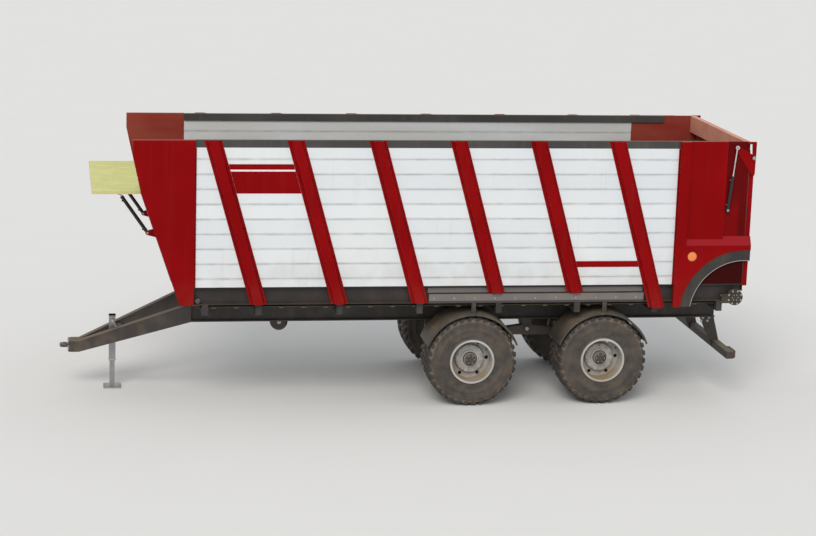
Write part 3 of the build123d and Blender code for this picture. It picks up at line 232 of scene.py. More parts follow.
class Finish(Tree):
    """A material's node tree, with short calls for what the finishes share."""

    def __init__(self, name):
        self.material = bpy.data.materials.new(name)
        super().__init__(self.material)
        self.shader = self.tree.nodes["Principled BSDF"]
        self.place = self.node("ShaderNodeTexCoord").outputs["Object"]
        self.along, self.across, self.height = self.split(self.place)
        self.normal = self.node("ShaderNodeNewGeometry").outputs["Normal"]
        self.fore, _, self.up = self.split(self.normal)
        # The distance from the wagon's middle plane
        self.aside = self.maths("ABSOLUTE", self.across)

    def split(self, vector):
        """The three parts of a vector."""
        return self.node("ShaderNodeSeparateXYZ", {0: vector}).outputs

    def noise(self, scale, detail=3.0, stretch=None):
        """Noise over the object, stretched along its axes."""
        place = self.place
        if stretch:
            place = self.node("ShaderNodeMapping", {"Vector": place, "Scale": stretch}).outputs[0]
        return self.node("ShaderNodeTexNoise", {"Vector": place, "Scale": scale, "Detail": detail}).outputs[0]

    def span(self, value, low, high, to_low=0.0, to_high=1.0):
        """A value's smooth rise from one level to another, held at both ends."""
        inputs = {0: value, 1: low, 2: high, 3: to_low, 4: to_high}
        return self.node("ShaderNodeMapRange", inputs, interpolation_type="SMOOTHSTEP").outputs[0]

    def band(self, value, rise, fall):
        """1 where a value is between its rise and its fall, each a pair of levels."""
        return self.times(self.span(value, *rise), self.span(value, *fall))

    def times(self, *values):
        """The product of several values."""
        return self.maths("MULTIPLY", *values)

    def plus(self, *values):
        """The sum of several values."""
        return self.maths("ADD", *values)

    def either(self, first, second):
        """The larger of two values."""
        return self.maths("MAXIMUM", first, second)

    def mix(self, share, first, second):
        """A colour between two colours."""
        return self.node("ShaderNodeMix", {0: share, 6: first, 7: second}, data_type="RGBA").outputs[2]

    def held(self, value):
        """A value held between 0 and 1."""
        return self.node("ShaderNodeClamp", {0: value}).outputs[0]

    def worn_edge(self, radius, amount):
        """Where an edge's paint is worn: its rounded normal leaves the face's own."""
        rounded = self.node("ShaderNodeBevel", {"Radius": radius}, samples=4).outputs[0]
        normals = {0: rounded, 1: self.normal}
        same = self.node("ShaderNodeVectorMath", normals, operation="DOT_PRODUCT").outputs["Value"]
        chips = self.span(self.noise(23.0, 4.0), 0.62 - amount, 0.70 - amount)
        return self.times(self.span(same, 0.985, 0.90), chips)

    def inside(self):
        """1 on faces of the load space, 0 outside the machine and ahead of the sloping front sheet."""
        sheet_slope = 0.34
        behind_sheet = self.plus(self.along, self.times(self.height, sheet_slope))
        return self.times(
            self.span(self.aside, 1.200, 1.188),
            self.span(self.height, 1.44, 1.50),
            self.span(self.along, 4.592, 4.587),
            self.span(behind_sheet, -2.560, -2.556),
        )

    def rear_shade(self):
        """1 where shade is painted on the wall inside the rear arch, part of that in the side recess over it,
        0 elsewhere.
        """
        on_wall = self.band(self.aside, (1.192, 1.198), (1.221, 1.217))
        flat = self.node("ShaderNodeCombineXYZ", {0: self.along, 2: self.height}).outputs[0]
        ends = {0: flat, 1: ARCH_CENTRE}
        reach = self.node("ShaderNodeVectorMath", ends, operation="DISTANCE").outputs["Value"]
        # The painted shade in the recess is darkest high up and beside the gate
        deep = self.either(self.span(self.height, 2.62, 2.95, 0.35, 1.0), self.span(self.along, 4.40, 4.50))
        recess = self.times(self.span(self.along, 4.262, 4.268), self.span(self.height, 2.330, 2.345), deep)
        return self.times(on_wall, self.either(self.span(reach, 0.760, 0.728), self.times(recess, 0.64)))

    def done(self, colour, roughness, bump=None, strength=0.1, distance=0.002, metallic=0.0, own=None):
        """Links the finished values to the shader, and sets its own numbers by their sockets' names."""
        self.feed(self.shader.inputs["Base Color"], colour)
        self.feed(self.shader.inputs["Roughness"], roughness)
        self.feed(self.shader.inputs["Metallic"], metallic)
        if bump is not None:
            inputs = {"Height": bump, "Strength": strength, "Distance": distance}
            self.feed(self.shader.inputs["Normal"], self.node("ShaderNodeBump", inputs).outputs[0])
        for socket, value in (own or {}).items():
            self.feed(self.shader.inputs[socket], value)
        return self.material


def body_marks(f, shade, level):
    """The red paint with a film inside, a painted highlight on the ledge, painted shade at the rear and dust
    on the header.
    """
    film = f.span(f.noise(2.1, 6.0, (0.45, 0.8, 1.7)), 0.28, 0.72, 0.34, 0.70)
    shade = f.mix(f.times(f.inside(), film), shade, TONES["film on red"])
    # Painted highlight: the ledge's upward-sloping face is painted a lighter red
    ledge = f.times(f.band(f.up, (0.38, 0.43), (0.52, 0.47)), f.span(f.along, 3.70, 3.76))
    shade = f.mix(f.times(ledge, 0.75), shade, TONES["painted highlight, ledge"])
    # Painted shade: the wall inside the rear arch and the recess over it are darkened to a near-black red
    shade = f.mix(f.times(f.rear_shade(), 0.9), shade, TONES["painted shade, red"])
    # Crop dust lies on the header and on its face towards the load
    forward = f.times(f.span(f.fore, -0.5, -0.9), f.span(f.along, 4.40, 4.46), f.span(f.height, 3.36, 3.40))
    between_walls = f.span(f.aside, 1.190, 1.180)
    on_header = f.times(f.either(level, forward), f.span(f.height, 3.33, 3.38), between_walls)
    cover = f.span(f.noise(3.0, 4.0), 0.3, 0.7, 0.62, 0.82)
    return f.mix(f.times(on_header, cover), shade, TONES["dust on header"])


def sill_marks(f, shade):
    """A lighter band on the sill between the boards and the strip over the wheels."""
    front, rear = STRIP_ENDS
    over_strip = f.times(
        f.band(f.along, (front - 0.006, front), (rear + 0.006, rear)),
        f.band(f.height, (1.560, 1.562), (1.634, 1.622)),
    )
    return f.mix(f.times(over_strip, 0.9), shade, TONES["sill, lighter band"])


def painted(name, paint, colour, faded, dusty, dust_heights, clean_rough, wear):
    """Weathered paint: faded patches, streaks, dust on low and level faces, worn edges."""
    f = Finish(name)
    tone = f.mix(f.span(f.noise(1.1, 5.0), 0.38, 0.68), colour, faded)
    patch = f.span(f.noise(4.3, 6.0), 0.40, 0.72)
    streak = f.span(f.noise(1.0, 4.0, (11.0, 11.0, 0.55)), 0.50, 0.74)
    level = f.span(f.up, 0.35, 0.95)
    thick, thin = dust_heights
    near_ground = f.times(f.span(f.height, thin, thick), f.plus(f.times(patch, 0.6), 0.35))
    dust = f.held(f.times(f.plus(near_ground, f.times(level, 0.85), f.times(streak, 0.16)), dusty))
    shade = f.mix(dust, tone, paint.dust)
    shine = 0.25
    if name == "weathered_red":
        shade = body_marks(f, shade, level)
        shine = 0.05
    elif name == "sill_paint":
        shade = sill_marks(f, shade)
    shade = f.mix(f.times(f.worn_edge(0.006, wear), 0.6), shade, TONES["bare edge"])
    rough = f.plus(f.span(dust, 0.0, 0.7, clean_rough, 0.78), f.times(f.noise(38.0, 2.0), 0.06))
    skin = f.plus(f.times(f.noise(190.0, 2.0), 0.35), f.times(patch, dust))
    return f.done(shade, rough, skin, 0.12, 0.0015, own={"Specular IOR Level": shine})


def board_finish(paint, body):
    """Pale boards: each with its own tone, grime at the joints and streaks below them."""
    f = Finish("painted_boards")
    from_joint = f.maths("SUBTRACT", f.height, body.lowest_joint)
    number = f.maths("FLOOR", f.maths("DIVIDE", from_joint, body.board_pitch))
    own = f.node("ShaderNodeTexWhiteNoise", {"W": number}, noise_dimensions="1D").outputs[0]
    to_joint = f.maths("PINGPONG", from_joint, body.board_pitch / 2)
    clumps = f.span(f.noise(5.0, 6.0, (1.0, 1.0, 3.0)), 0.30, 0.66, 0.35, 1.0)
    grime = f.times(f.span(to_joint, 0.030, 0.004), clumps)
    streak = f.span(f.noise(1.0, 4.0, (15.0, 15.0, 0.7)), 0.54, 0.76)
    run = f.times(streak, f.span(f.noise(1.7, 3.0), 0.42, 0.62))
    foot = f.times(f.span(f.height, 2.35, 1.66), f.span(f.noise(3.4, 6.0), 0.34, 0.66, 0.25, 1.0))
    tone = f.mix(f.times(own, 0.55), paint.board, TONES["board, greyed"])
    tone = f.mix(f.times(f.span(f.noise(0.8, 4.0), 0.35, 0.7), 0.4), tone, TONES["board, warm"])
    tone = f.mix(f.times(grime, 0.34), tone, TONES["joint grime"])
    tone = f.mix(f.times(run, 0.12), tone, TONES["run of dirt"])
    tone = f.mix(f.times(foot, 0.22), tone, paint.dust)
    # The load leaves a film inside, thicker lower down
    film = f.span(f.noise(1.9, 6.0, (0.40, 1.0, 1.6)), 0.26, 0.74, 0.30, 0.72)
    lower = f.span(f.height, 3.6, 2.2, 0.45, 1.0)
    shade = f.mix(f.times(f.inside(), film, lower), tone, paint.stain)
    rough = f.span(f.plus(grime, foot, run), 0.0, 0.9, 0.34, 0.72)
    dents = f.plus(f.noise(1.6, 2.0, (1.0, 1.0, 4.0)), f.times(f.noise(150.0, 2.0), 0.03))
    return f.done(shade, rough, dents, 0.25, 0.006, own={"Coat Weight": 0.08, "Coat Roughness": 0.25})


def flap_finish(paint):
    """The folded flap: dried crop over it, thickest on level faces, with red paint showing through."""
    f = Finish("chaff_on_red")
    lying = f.plus(f.span(f.up, 0.1, 0.8), f.span(f.up, 0.9, 0.1, 0.0, 0.8))
    cover = f.times(lying, f.span(f.noise(26.0, 4.0), 0.26, 0.44, 0.7, 1.0))
    grain = f.mix(f.span(f.noise(150.0, 3.0), 0.35, 0.65), paint.chaff, TONES["chaff, darker"])
    grain = f.mix(f.span(f.noise(4.0, 3.0), 0.4, 0.7), grain, TONES["chaff, paler"])
    red = f.mix(f.span(f.noise(3.0, 5.0), 0.4, 0.7), paint.red, paint.red_faded)
    shade = f.mix(cover, red, grain)
    return f.done(shade, f.span(cover, 0.0, 1.0, 0.4, 0.88), f.noise(170.0, 4.0), 0.25, 0.002)


def galvanised_finish(name, paint, tint, dusty):
    """Zinc with its spangle, dulled in patches."""
    f = Finish(name)
    spangle = f.node("ShaderNodeTexVoronoi", {"Vector": f.place, "Scale": 90.0}).outputs["Color"]
    spark = f.split(spangle)[0]
    patch = f.span(f.noise(5.0, 5.0), 0.35, 0.7)
    shade = f.mix(f.times(spark, 0.35), tint, tuple(part * 0.62 for part in tint))
    dust = f.times(f.plus(f.times(patch, 0.6), f.times(f.span(f.up, 0.3, 0.9), 0.5)), dusty)
    shade = f.mix(dust, shade, paint.dust)
    return f.done(shade, f.span(patch, 0.0, 1.0, 0.34, 0.62), spark, 0.05, 0.001, 0.75)


def plastic_finish(name, paint, colour, dusty, grain=260.0, painted_shade_below=None):
    """Grained plastic, dusty and streaked by rain, with painted shade in the sill's colour below a height."""
    f = Finish(name)
    patch = f.span(f.noise(3.2, 6.0), 0.36, 0.70)
    streak = f.span(f.noise(1.0, 4.0, (14.0, 14.0, 0.8)), 0.48, 0.72)
    level = f.span(f.up, 0.2, 0.9)
    dust = f.held(f.times(f.plus(f.times(patch, 0.45), f.times(level, 0.6), f.times(streak, 0.22)), dusty))
    shade = f.mix(dust, colour, paint.dust)
    # Painted shade: below a height the face takes the sill's dark colour
    if painted_shade_below:
        shade = f.mix(f.span(f.height, painted_shade_below + 0.004, painted_shade_below - 0.010, 0.0, 0.85), shade, paint.sill)
    return f.done(shade, f.span(dust, 0.0, 0.6, 0.46, 0.86), f.noise(grain, 3.0), 0.25, 0.0012)


def tyre_finish(paint):
    """Rubber that is dark on the blocks' tops, and dusty in the grooves and on the walls."""
    f = Finish("tyre_rubber")
    raised = f.node("ShaderNodeAttribute", attribute_name="raised").outputs["Fac"]
    patch = f.span(f.noise(7.0, 6.0), 0.34, 0.68, 0.35, 1.0)
    fine = f.noise(120.0, 4.0)
    dust = f.times(f.span(raised, 0.85, 0.15, 0.08, 0.56), patch)
    worn = f.mix(f.span(f.noise(16.0, 4.0), 0.35, 0.7), paint.rubber, TONES["rubber, worn"])
    shade = f.mix(dust, worn, paint.dust)
    return f.done(shade, f.span(dust, 0.0, 0.6, 0.58, 0.90), fine, 0.3, 0.0015)


def belt_finish(paint):
    """A ribbed rubber belt with steel slats across it at their pitch."""
    f = Finish("slatted_belt")
    low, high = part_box("floor_belt")
    middle, level, lift = (low.x + high.x) / 2, (low.z + high.z) / 2, (high.z - low.z) / 2
    # The slats lie on either side of the middle, half a pitch from it
    from_gap = f.maths("PINGPONG", f.maths("SUBTRACT", f.along, middle), SLAT_PITCH / 2)
    to_slat = f.maths("SUBTRACT", SLAT_PITCH / 2, from_gap)
    from_level = f.maths("ABSOLUTE", f.maths("SUBTRACT", f.height, level))
    slat = f.times(f.span(to_slat, 0.031, 0.029), f.span(from_level, lift - 0.008, lift - 0.004))
    ribs = f.maths("PINGPONG", f.along, 0.006)
    patch = f.span(f.noise(2.4, 6.0, (0.35, 1.6, 1.0)), 0.25, 0.75, 0.35, 0.70)
    rubber = f.mix(f.times(patch, 0.62), paint.rubber, paint.stain)
    steel = f.mix(patch, TONES["slat, bright"], TONES["slat, rusty"])
    relief = f.plus(f.times(ribs, 40.0), f.times(f.noise(40.0, 4.0), 0.4))
    rough = f.span(slat, 0.0, 1.0, 0.78, 0.42)
    return f.done(f.mix(slat, rubber, steel), rough, relief, 0.3, 0.002, f.times(slat, 0.7))


def steel_finish(name, clean, smeared, mark_scale, roughness, strength, metallic):
    """Bare or chromed steel with its turning marks and smears."""
    f = Finish(name)
    marks = f.noise(mark_scale, 3.0)
    smear = f.span(f.noise(18.0, 4.0), 0.45, 0.75)
    shade = f.mix(smear, TONES[clean], TONES[smeared])
    return f.done(shade, f.span(smear, 0.0, 1.0, *roughness), marks, strength, 0.001, metallic)


def lens_finish(name, paint, colour, deep, glow=0.0):
    """Moulded lens plastic with a fine prism pattern behind a glossy skin."""
    f = Finish(name)
    cells = {"Vector": f.place, "Scale": 150.0}
    prism = f.node("ShaderNodeTexVoronoi", cells, distance="CHEBYCHEV").outputs[0]
    shade = f.mix(f.span(prism, 0.1, 0.6), colour, TONES[deep])
    shade = f.mix(f.times(f.span(f.noise(14.0, 4.0), 0.5, 0.75), 0.18), shade, paint.dust)
    rough = f.span(f.noise(30.0, 3.0), 0.4, 0.7, 0.10, 0.28)
    gloss = {"Coat Weight": 0.6, "Coat Roughness": 0.05, "Emission Color": colour, "Emission Strength": glow}
    return f.done(shade, rough, prism, 0.25, 0.001, own=gloss)


# Columns: name, colour, faded tone, how dusty, heights of thick dust and of none, clean roughness, edge wear
PAINTS = (
    ("rail_paint", "rail", (72, 70, 68), 0.38, (0.0, 0.1), 0.42, 0.08),
    ("sill_paint", "sill", (50, 45, 45), 0.13, (1.0, 2.0), 0.42, 0.08),
    ("weathered_chassis", "chassis", (56, 54, 54), 0.30, (0.1, 1.9), 0.40, 0.08),
    ("drive_paint", "drive", (42, 36, 34), 0.30, (1.0, 2.0), 0.42, 0.10),
    ("rim_paint", "rim", (172, 171, 168), 0.62, (0.2, 1.5), 0.36, 0.06),
    ("cylinder_paint", "cylinder", (46, 45, 46), 0.35, (0.5, 3.0), 0.3, 0.05),
)


def pair(*names):
    """The names of like nodes on the left and on the right."""
    return [f"{name}_{side}" for name in names for side, _ in SIDES]


# What each node of the frame is finished with
NODE_FINISHES = {
    "weathered_red": [
        *pair("posts", "front_panel", "rear_side"), "front_wall", "rear_header", "tailgate", "gate_hangers",
    ],
    "painted_boards": pair("side_wall"),
    "rail_paint": pair("top_rail"),
    "sill_paint": [*pair("sill"), "floor_deck"],
    "weathered_chassis": [
        *pair("main_beam"), "cross_members", "bearers", "drawbar", "axle_front", "axle_rear", "leaf_springs",
        "spring_hangers", "rear_bumper", "air_tank",
    ],
    "drive_paint": ["belt_drives"],
    "slatted_belt": ["floor_belt"],
    "bare_steel": ["belt_rollers", "drawbar_eye"],
    "zinc": ["front_ladder", "parking_jack"],
    "arch_plastic": ["arch_guards"],
    "guard_plastic": ["mudguards"],
    "chaff_on_red": ["front_flap"],
    "cylinder_paint": ["flap_barrels", "gate_barrels"],
    "hard_chrome": ["flap_rods", "gate_rods"],
    "rim_paint": [f"rim_{wheel}" for wheel in WHEELS],
    "tyre_rubber": [f"tyre_{wheel}" for wheel in WHEELS],
    "lens_orange": ["side_lamps"],
    "lens_red": ["rear_lamps"],
}


class WAGON_OT_finishes(bpy.types.Operator):
    """Make the finishes and give one to each node of the frame"""

    bl_idname = "wagon.finishes"
    bl_label = "Finishes"

    def execute(self, context):
        paint = context.scene.wagon_paint
        painted("weathered_red", paint, paint.red, paint.red_faded, 0.10, (1.15, 1.9), 0.34, 0.06)
        for name, colour, faded, *how in PAINTS:
            painted(name, paint, getattr(paint, colour), colour_of(*faded), *how)
        board_finish(paint, context.scene.wagon_body)
        flap_finish(paint)
        galvanised_finish("zinc", paint, paint.zinc, 0.45)
        galvanised_finish("bolt_zinc", paint, paint.bolt_zinc, 0.30)
        plastic_finish("guard_plastic", paint, paint.guard, 0.42)
        plastic_finish("arch_plastic", paint, paint.arch, 0.16)
        plastic_finish("strip_plastic", paint, paint.strip, 0.30, painted_shade_below=STRIP_PAINTED_SHADE_BELOW)
        plastic_finish("seal_rubber", paint, paint.rubber, 0.35, grain=400.0)
        tyre_finish(paint)
        belt_finish(paint)
        steel_finish("hard_chrome", "chrome", "chrome, oily", 420.0, (0.12, 0.3), 0.04, 1.0)
        steel_finish("bare_steel", "steel", "steel, rusty", 60.0, (0.42, 0.7), 0.3, 0.7)
        lens_finish("lens_orange", paint, paint.orange, "orange, deep", glow=0.16)
        lens_finish("lens_red", paint, paint.lens_red, "lens red, deep")
        lens_finish("lens_clear", paint, paint.lens_clear, "lens clear, deep")
        lens_finish("plate_white", paint, paint.plate, "plate, greyed")
        for finish, names in NODE_FINISHES.items():
            for name in names:
                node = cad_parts[name]
                if not node.material_slots:
                    node.data.materials.append(bpy.data.materials[finish])
                for slot in node.material_slots:
                    slot.material = bpy.data.materials[finish]
        return {"FINISHED"}


# Shapes: each call makes a small bmesh, and copies of it are merged into a piece

STILL = (Matrix.Identity(4),)


def add(piece, shape, places=STILL, finish=None):
    """Adds a copy of a shape to a piece at each place, with a finish of the piece, and frees the shape."""
    if finish is not None:
        for face in shape.faces:
            face.material_index = finish
    pattern = bpy.data.meshes.new("pattern")
    shape.to_mesh(pattern)
    shape.free()
    for place in places:
        first = len(piece.verts)
        piece.from_mesh(pattern)
        piece.verts.ensure_lookup_table()
        bmesh.ops.transform(piece, matrix=place, verts=piece.verts[first:])
    bpy.data.meshes.remove(pattern)


def make_piece(name, shape, finishes, body, stands_for=()):
    """Turns a bmesh into a piece that rides on a body, smooth but for its sharp edges."""
    mesh = bpy.data.meshes.new(name)
    shape.to_mesh(mesh)
    shape.free()
    for finish in finishes:
        mesh.materials.append(bpy.data.materials[finish])
    mesh.polygons.foreach_set("use_smooth", [True] * len(mesh.polygons))
    mesh.set_sharp_from_angle(angle=math.radians(32))
    piece = bpy.data.objects.new(name, mesh)
    bpy.context.scene.collection.objects.link(piece)
    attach(piece, body)
    if stands_for:
        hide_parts(*stands_for)


def soften(shape, edges, size, segments=1):
    """Bevels edges."""
    bmesh.ops.bevel(
        shape, geom=list(edges), offset=size, segments=segments, profile=0.5, affect="EDGES", material=-1
    )


def new_corners(grown):
    """The vertices that an extrusion made."""
    return [part for part in grown["geom"] if isinstance(part, bmesh.types.BMVert)]


def block(low, high, round_off=0.0, segments=1):
    """A box between two corners with its edges rounded off."""
    low, high = Vector(low), Vector(high)
    shape = bmesh.new()
    bmesh.ops.create_cube(shape, size=1.0)
    sizes = Matrix.Diagonal((*(high - low), 1.0))
    bmesh.ops.transform(shape, matrix=Matrix.Translation((low + high) / 2) @ sizes, verts=shape.verts)
    if round_off:
        soften(shape, shape.edges, round_off, segments)
    return shape


def side_block(side, x, y, z, round_off, segments=1):
    """A box on one side of the wagon, from pairs of places along it, out from its middle, and up."""
    (x_low, x_high), (z_low, z_high) = x, z
    y_low, y_high = sorted(side * out for out in y)
    return block((x_low, y_low, z_low), (x_high, y_high, z_high), round_off, segments)


def rod(radius, height, sides=16, round_off=0.0):
    """A round bar that stands on its foot at the origin, along +Z."""
    shape = bmesh.new()
    bmesh.ops.create_cone(shape, cap_ends=True, segments=sides, radius1=radius, radius2=radius, depth=height)
    bmesh.ops.translate(shape, vec=(0, 0, height / 2), verts=shape.verts)
    if round_off:
        ends = [edge for edge in shape.edges if abs(edge.verts[0].co.z - edge.verts[1].co.z) < 1e-6]
        soften(shape, ends, round_off, 2)
    return shape


def turned(profile, steps=48, arc=2 * math.pi):
    """A turned shape: (radius, height) points spun about Z."""
    shape = bmesh.new()
    corners = [shape.verts.new((radius, 0, height)) for radius, height in profile]
    for first, second in zip(corners, corners[1:]):
        shape.edges.new((first, second))
    bmesh.ops.spin(
        shape, geom=[*shape.verts, *shape.edges], cent=(0, 0, 0), axis=(0, 0, 1), angle=arc, steps=steps,
        use_merge=arc == 2 * math.pi,
    )
    bmesh.ops.remove_doubles(shape, verts=shape.verts, dist=1e-6)
    bmesh.ops.recalc_face_normals(shape, faces=shape.faces)
    return shape


def slab(outline, thickness, round_off=0.0):
    """A flat plate: (x, y) corners extruded up along Z."""
    shape = bmesh.new()
    face = shape.faces.new([shape.verts.new((x, y, 0)) for x, y in outline])
    grown = bmesh.ops.extrude_face_region(shape, geom=[face])
    bmesh.ops.translate(shape, vec=(0, 0, thickness), verts=new_corners(grown))
    bmesh.ops.recalc_face_normals(shape, faces=shape.faces)
    if round_off:
        soften(shape, shape.edges, round_off)
    return shape


def bolt(flats, height, washer=True):
    """A hexagon head on its washer, along +Z."""
    corner_reach, washer_reach = flats * 0.58, flats * 0.82
    shape = rod(corner_reach, height, 6, flats * 0.06)
    if washer:
        add(shape, rod(washer_reach, height * 0.22, 14))
    return shape


# Places: matrices that take a shape's +Z to where it faces

AHEAD, BEHIND, RIGHT, UP, DOWN = (-1, 0, 0), (1, 0, 0), (0, 1, 0), (0, 0, 1), (0, 0, -1)


def facing(place, direction, turn=0.0):
    """The matrix that takes +Z to a direction at a place."""
    quaternion = Vector(direction).to_track_quat("Z", "Y")
    return Matrix.Translation(place) @ quaternion.to_matrix().to_4x4() @ Matrix.Rotation(turn, 4, "Z")


def outward(side, x, y, z, turn=0.0):
    """A place on one side of the wagon, facing away from its middle."""
    return facing((x, side * y, z), (0, side, 0), turn)


def outward_both(x, y, z):
    """The same place on both sides, facing away from the middle."""
    return [outward(side, x, y, z) for _, side in SIDES]


def turns(count, radius, height, first=0.0):
    """Places spread round +Z at a radius and height, from a first angle in degrees."""
    out = Matrix.Translation((radius, 0, height))
    return [Matrix.Rotation(math.radians(360 / count * i + first), 4, "Z") @ out for i in range(count)]


def circle(side, centre, y, radius, count, first=0.0):
    """Places round an (x, z) centre on one side, facing outward, from a first angle in degrees."""
    (x, z), angles = centre, [math.radians(360 / count * i + first) for i in range(count)]
    return [outward(side, x + radius * math.cos(a), y, z + radius * math.sin(a)) for a in angles]


def wheel_place(name):
    """A wheel's centre, and the matrix that takes +Z to its axis, outwards."""
    low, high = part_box(f"tyre_{name}")
    centre = (low + high) / 2
    return facing(centre, (0, math.copysign(1, centre.y), 0))


# Tyres

# The tread's surface from the tyre's middle outwards: its crown, its shoulder and the top of its wall
TREAD_RADIUS = 0.625
CROWN_EDGE, CROWN_DROP = 0.240, 0.006
SHOULDER_EDGE, SHOULDER_OUT, SHOULDER_DROP = 0.286, 0.0375, 0.027

# Where the blocks' slant is laid out, how far a block's foot reaches into the carcass, and how much
# wider it is there
TREAD_MEAN_RADIUS = 0.61
BLOCK_FOOT = 0.006
BLOCK_FLARE = (1.04, 1.22, 1.0)

# The tyre's wall ends at this radius, and takes dust as if it were partly raised
WALL_RADIUS, WALL_RAISED = 0.565, 0.62

# Columns: a block's start and end from the middle, width round the tyre, share of the slant, offset
# round the tyre in pitches
TREAD_ROWS = (
    (0.010, 0.098, 0.052, 1.0, 0.00),
    (0.116, 0.316, 0.056, 0.70, 0.35),
    (-0.010, -0.098, 0.052, -1.0, 0.50),
    (-0.116, -0.316, 0.056, -0.70, 0.85),
)


def tread_line(across):
    """Half width, radius and facing of the tread's surface at a distance along it from its middle."""
    reach = abs(across)
    if reach < CROWN_EDGE:
        share = reach / CROWN_EDGE
        return reach, TREAD_RADIUS - CROWN_DROP * share * share, Vector((0.06 * share, 1.0)).normalized()
    crown_radius = TREAD_RADIUS - CROWN_DROP
    if reach > SHOULDER_EDGE:
        down = SHOULDER_DROP + reach - SHOULDER_EDGE
        return CROWN_EDGE + SHOULDER_OUT, crown_radius - down, Vector((0.99, 0.1))
    slope = (reach - CROWN_EDGE) / (SHOULDER_EDGE - CROWN_EDGE)
    out = Vector((0.40 + 0.45 * slope, 0.90 - 0.35 * slope)).normalized()
    return CROWN_EDGE + SHOULDER_OUT * slope, crown_radius - SHOULDER_DROP * slope, out


def tread_block(start, end, width, slant, depth):
    """A block of the tread between two distances from the middle, wrapped onto the tyre."""
    shape = bmesh.new()
    middle = (start + end) / 2
    bmesh.ops.create_grid(shape, x_segments=6, y_segments=2, size=0.5)
    bmesh.ops.scale(shape, vec=(end - start, width, 1.0), verts=shape.verts)
    bmesh.ops.translate(shape, vec=(middle, 0, 0), verts=shape.verts)
    rim_edges = [edge for edge in shape.edges if edge.is_boundary]
    skirt = new_corners(bmesh.ops.extrude_edge_only(shape, edges=rim_edges))
    bmesh.ops.translate(shape, vec=(0, 0, -depth - BLOCK_FOOT), verts=skirt)
    bmesh.ops.scale(shape, vec=BLOCK_FLARE, space=Matrix.Translation((-middle, 0, 0)), verts=skirt)
    soften(shape, rim_edges, 0.0025)
    raised = shape.verts.layers.float.new("raised")
    bevel_foot = -0.004
    for vert in shape.verts:
        across, along, drop = vert.co
        vert[raised] = 1.0 if drop > bevel_foot else 0.0
        half, radius, out = tread_line(across)
        turn = (along + math.tan(slant) * (across - start) * 0.9) / TREAD_MEAN_RADIUS
        radius, half = radius + out.y * drop, half + out.x * drop
        vert.co = (radius * math.cos(turn), radius * math.sin(turn), math.copysign(half, across))
    bmesh.ops.recalc_face_normals(shape, faces=shape.faces)
    return shape


def carcass(depth):
    """The tyre without its blocks: crown, shoulders, walls with their rings and beads."""
    half = [
        (0.2865, 0.262), (0.2865, 0.2796), (0.3055, 0.2797), (0.313, 0.2735), (0.326, 0.269), (0.333, 0.2712),
        (0.343, 0.2716), (0.349, 0.2698), (0.384, 0.2742), (0.424, 0.2764), (0.430, 0.2792), (0.440, 0.2796),
        (0.446, 0.2768), (0.492, 0.2774), (0.520, 0.2762), (0.526, 0.2780), (0.536, 0.2778), (0.542, 0.2752),
        (0.570, 0.2690), (0.592 - depth * 0.4, 0.2560), (0.613 - depth, 0.225), (0.6215 - depth, 0.130),
        (0.6240 - depth, 0.040),
    ]
    profile = half + [(radius, -across) for radius, across in reversed(half)]
    shape = turned([*profile, profile[0]], 112)
    raised = shape.verts.layers.float.new("raised")
    for vert in shape.verts:
        on_wall = math.hypot(vert.co.x, vert.co.y) < WALL_RADIUS
        vert[raised] = WALL_RAISED if on_wall else 0.0
    return shape


class WAGON_OT_tyres(bpy.types.Operator):
    """Make the four tyres with their tread"""

    bl_idname = "wagon.tyres"
    bl_label = "Tyres"

    def execute(self, context):
        tread = context.scene.wagon_tread
        pitch = 2 * math.pi / tread.pitches
        tyre = carcass(tread.depth)
        for start, end, width, share, offset in TREAD_ROWS:
            shape = tread_block(start, end, width, tread.slant * share, tread.depth)
            places = [Matrix.Rotation((i + offset) * pitch, 4, "Z") for i in range(tread.pitches)]
            add(tyre, shape, places)
        pattern = bpy.data.meshes.new("tyre pattern")
        tyre.to_mesh(pattern)
        tyre.free()
        for name in WHEELS:
            shape = bmesh.new()
            shape.from_mesh(pattern)
            bmesh.ops.transform(shape, matrix=wheel_place(name), verts=shape.verts)
            body, stands_for = f"wheel_{name}", [f"tyre_{name}"]
            make_piece(f"treaded_tyre_{name}", shape, ["tyre_rubber"], body, stands_for)
        bpy.data.meshes.remove(pattern)
        return {"FINISHED"}


class WAGON_OT_wheel_fittings(bpy.types.Operator):
    """Make the wheel nuts, hub covers and valves"""

    bl_idname = "wagon.wheel_fittings"
    bl_label = "Wheel fittings"

    def execute(self, context):
        # Heights are out along the wheel's axis from its middle
        for name in WHEELS:
            shape = bmesh.new()
            nuts = turns(10, 0.1675, 0.104, 18)
            add(shape, bolt(0.030, 0.022), nuts)
            add(shape, rod(0.010, 0.036, 12, 0.002), nuts)
            ring = [(0.086, 0.118), (0.094, 0.118), (0.098, 0.124), (0.098, 0.128), (0.086, 0.131)]
            add(shape, turned(ring), finish=1)
            cap = [(0.0745, 0.168), (0.0755, 0.172), (0.070, 0.176), (0.030, 0.180), (0.0, 0.181)]
            add(shape, turned(cap, 40), finish=1)
            add(shape, bolt(0.012, 0.008), turns(6, 0.056, 0.175))
            valve = Matrix.Rotation(math.radians(30), 4, "Z") @ facing((0.2765, 0, 0.078), (-0.55, 0, 1))
            add(shape, rod(0.006, 0.055, 10, 0.001), [valve])
            add(shape, rod(0.009, 0.018, 10, 0.002), [valve @ Matrix.Translation((0, 0, 0.045))], 2)
            bmesh.ops.transform(shape, matrix=wheel_place(name), verts=shape.verts)
            finishes = ["bolt_zinc", "weathered_chassis", "seal_rubber"]
            make_piece(f"wheel_fittings_{name}", shape, finishes, f"wheel_{name}")
        return {"FINISHED"}


# Running gear


def axle_places():
    """Each axle's place along the wagon and its height."""
    boxes = [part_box(f"tyre_{row}_left") for row in ("front", "rear")]
    return [((low.x + high.x) / 2, (low.z + high.z) / 2) for low, high in boxes]


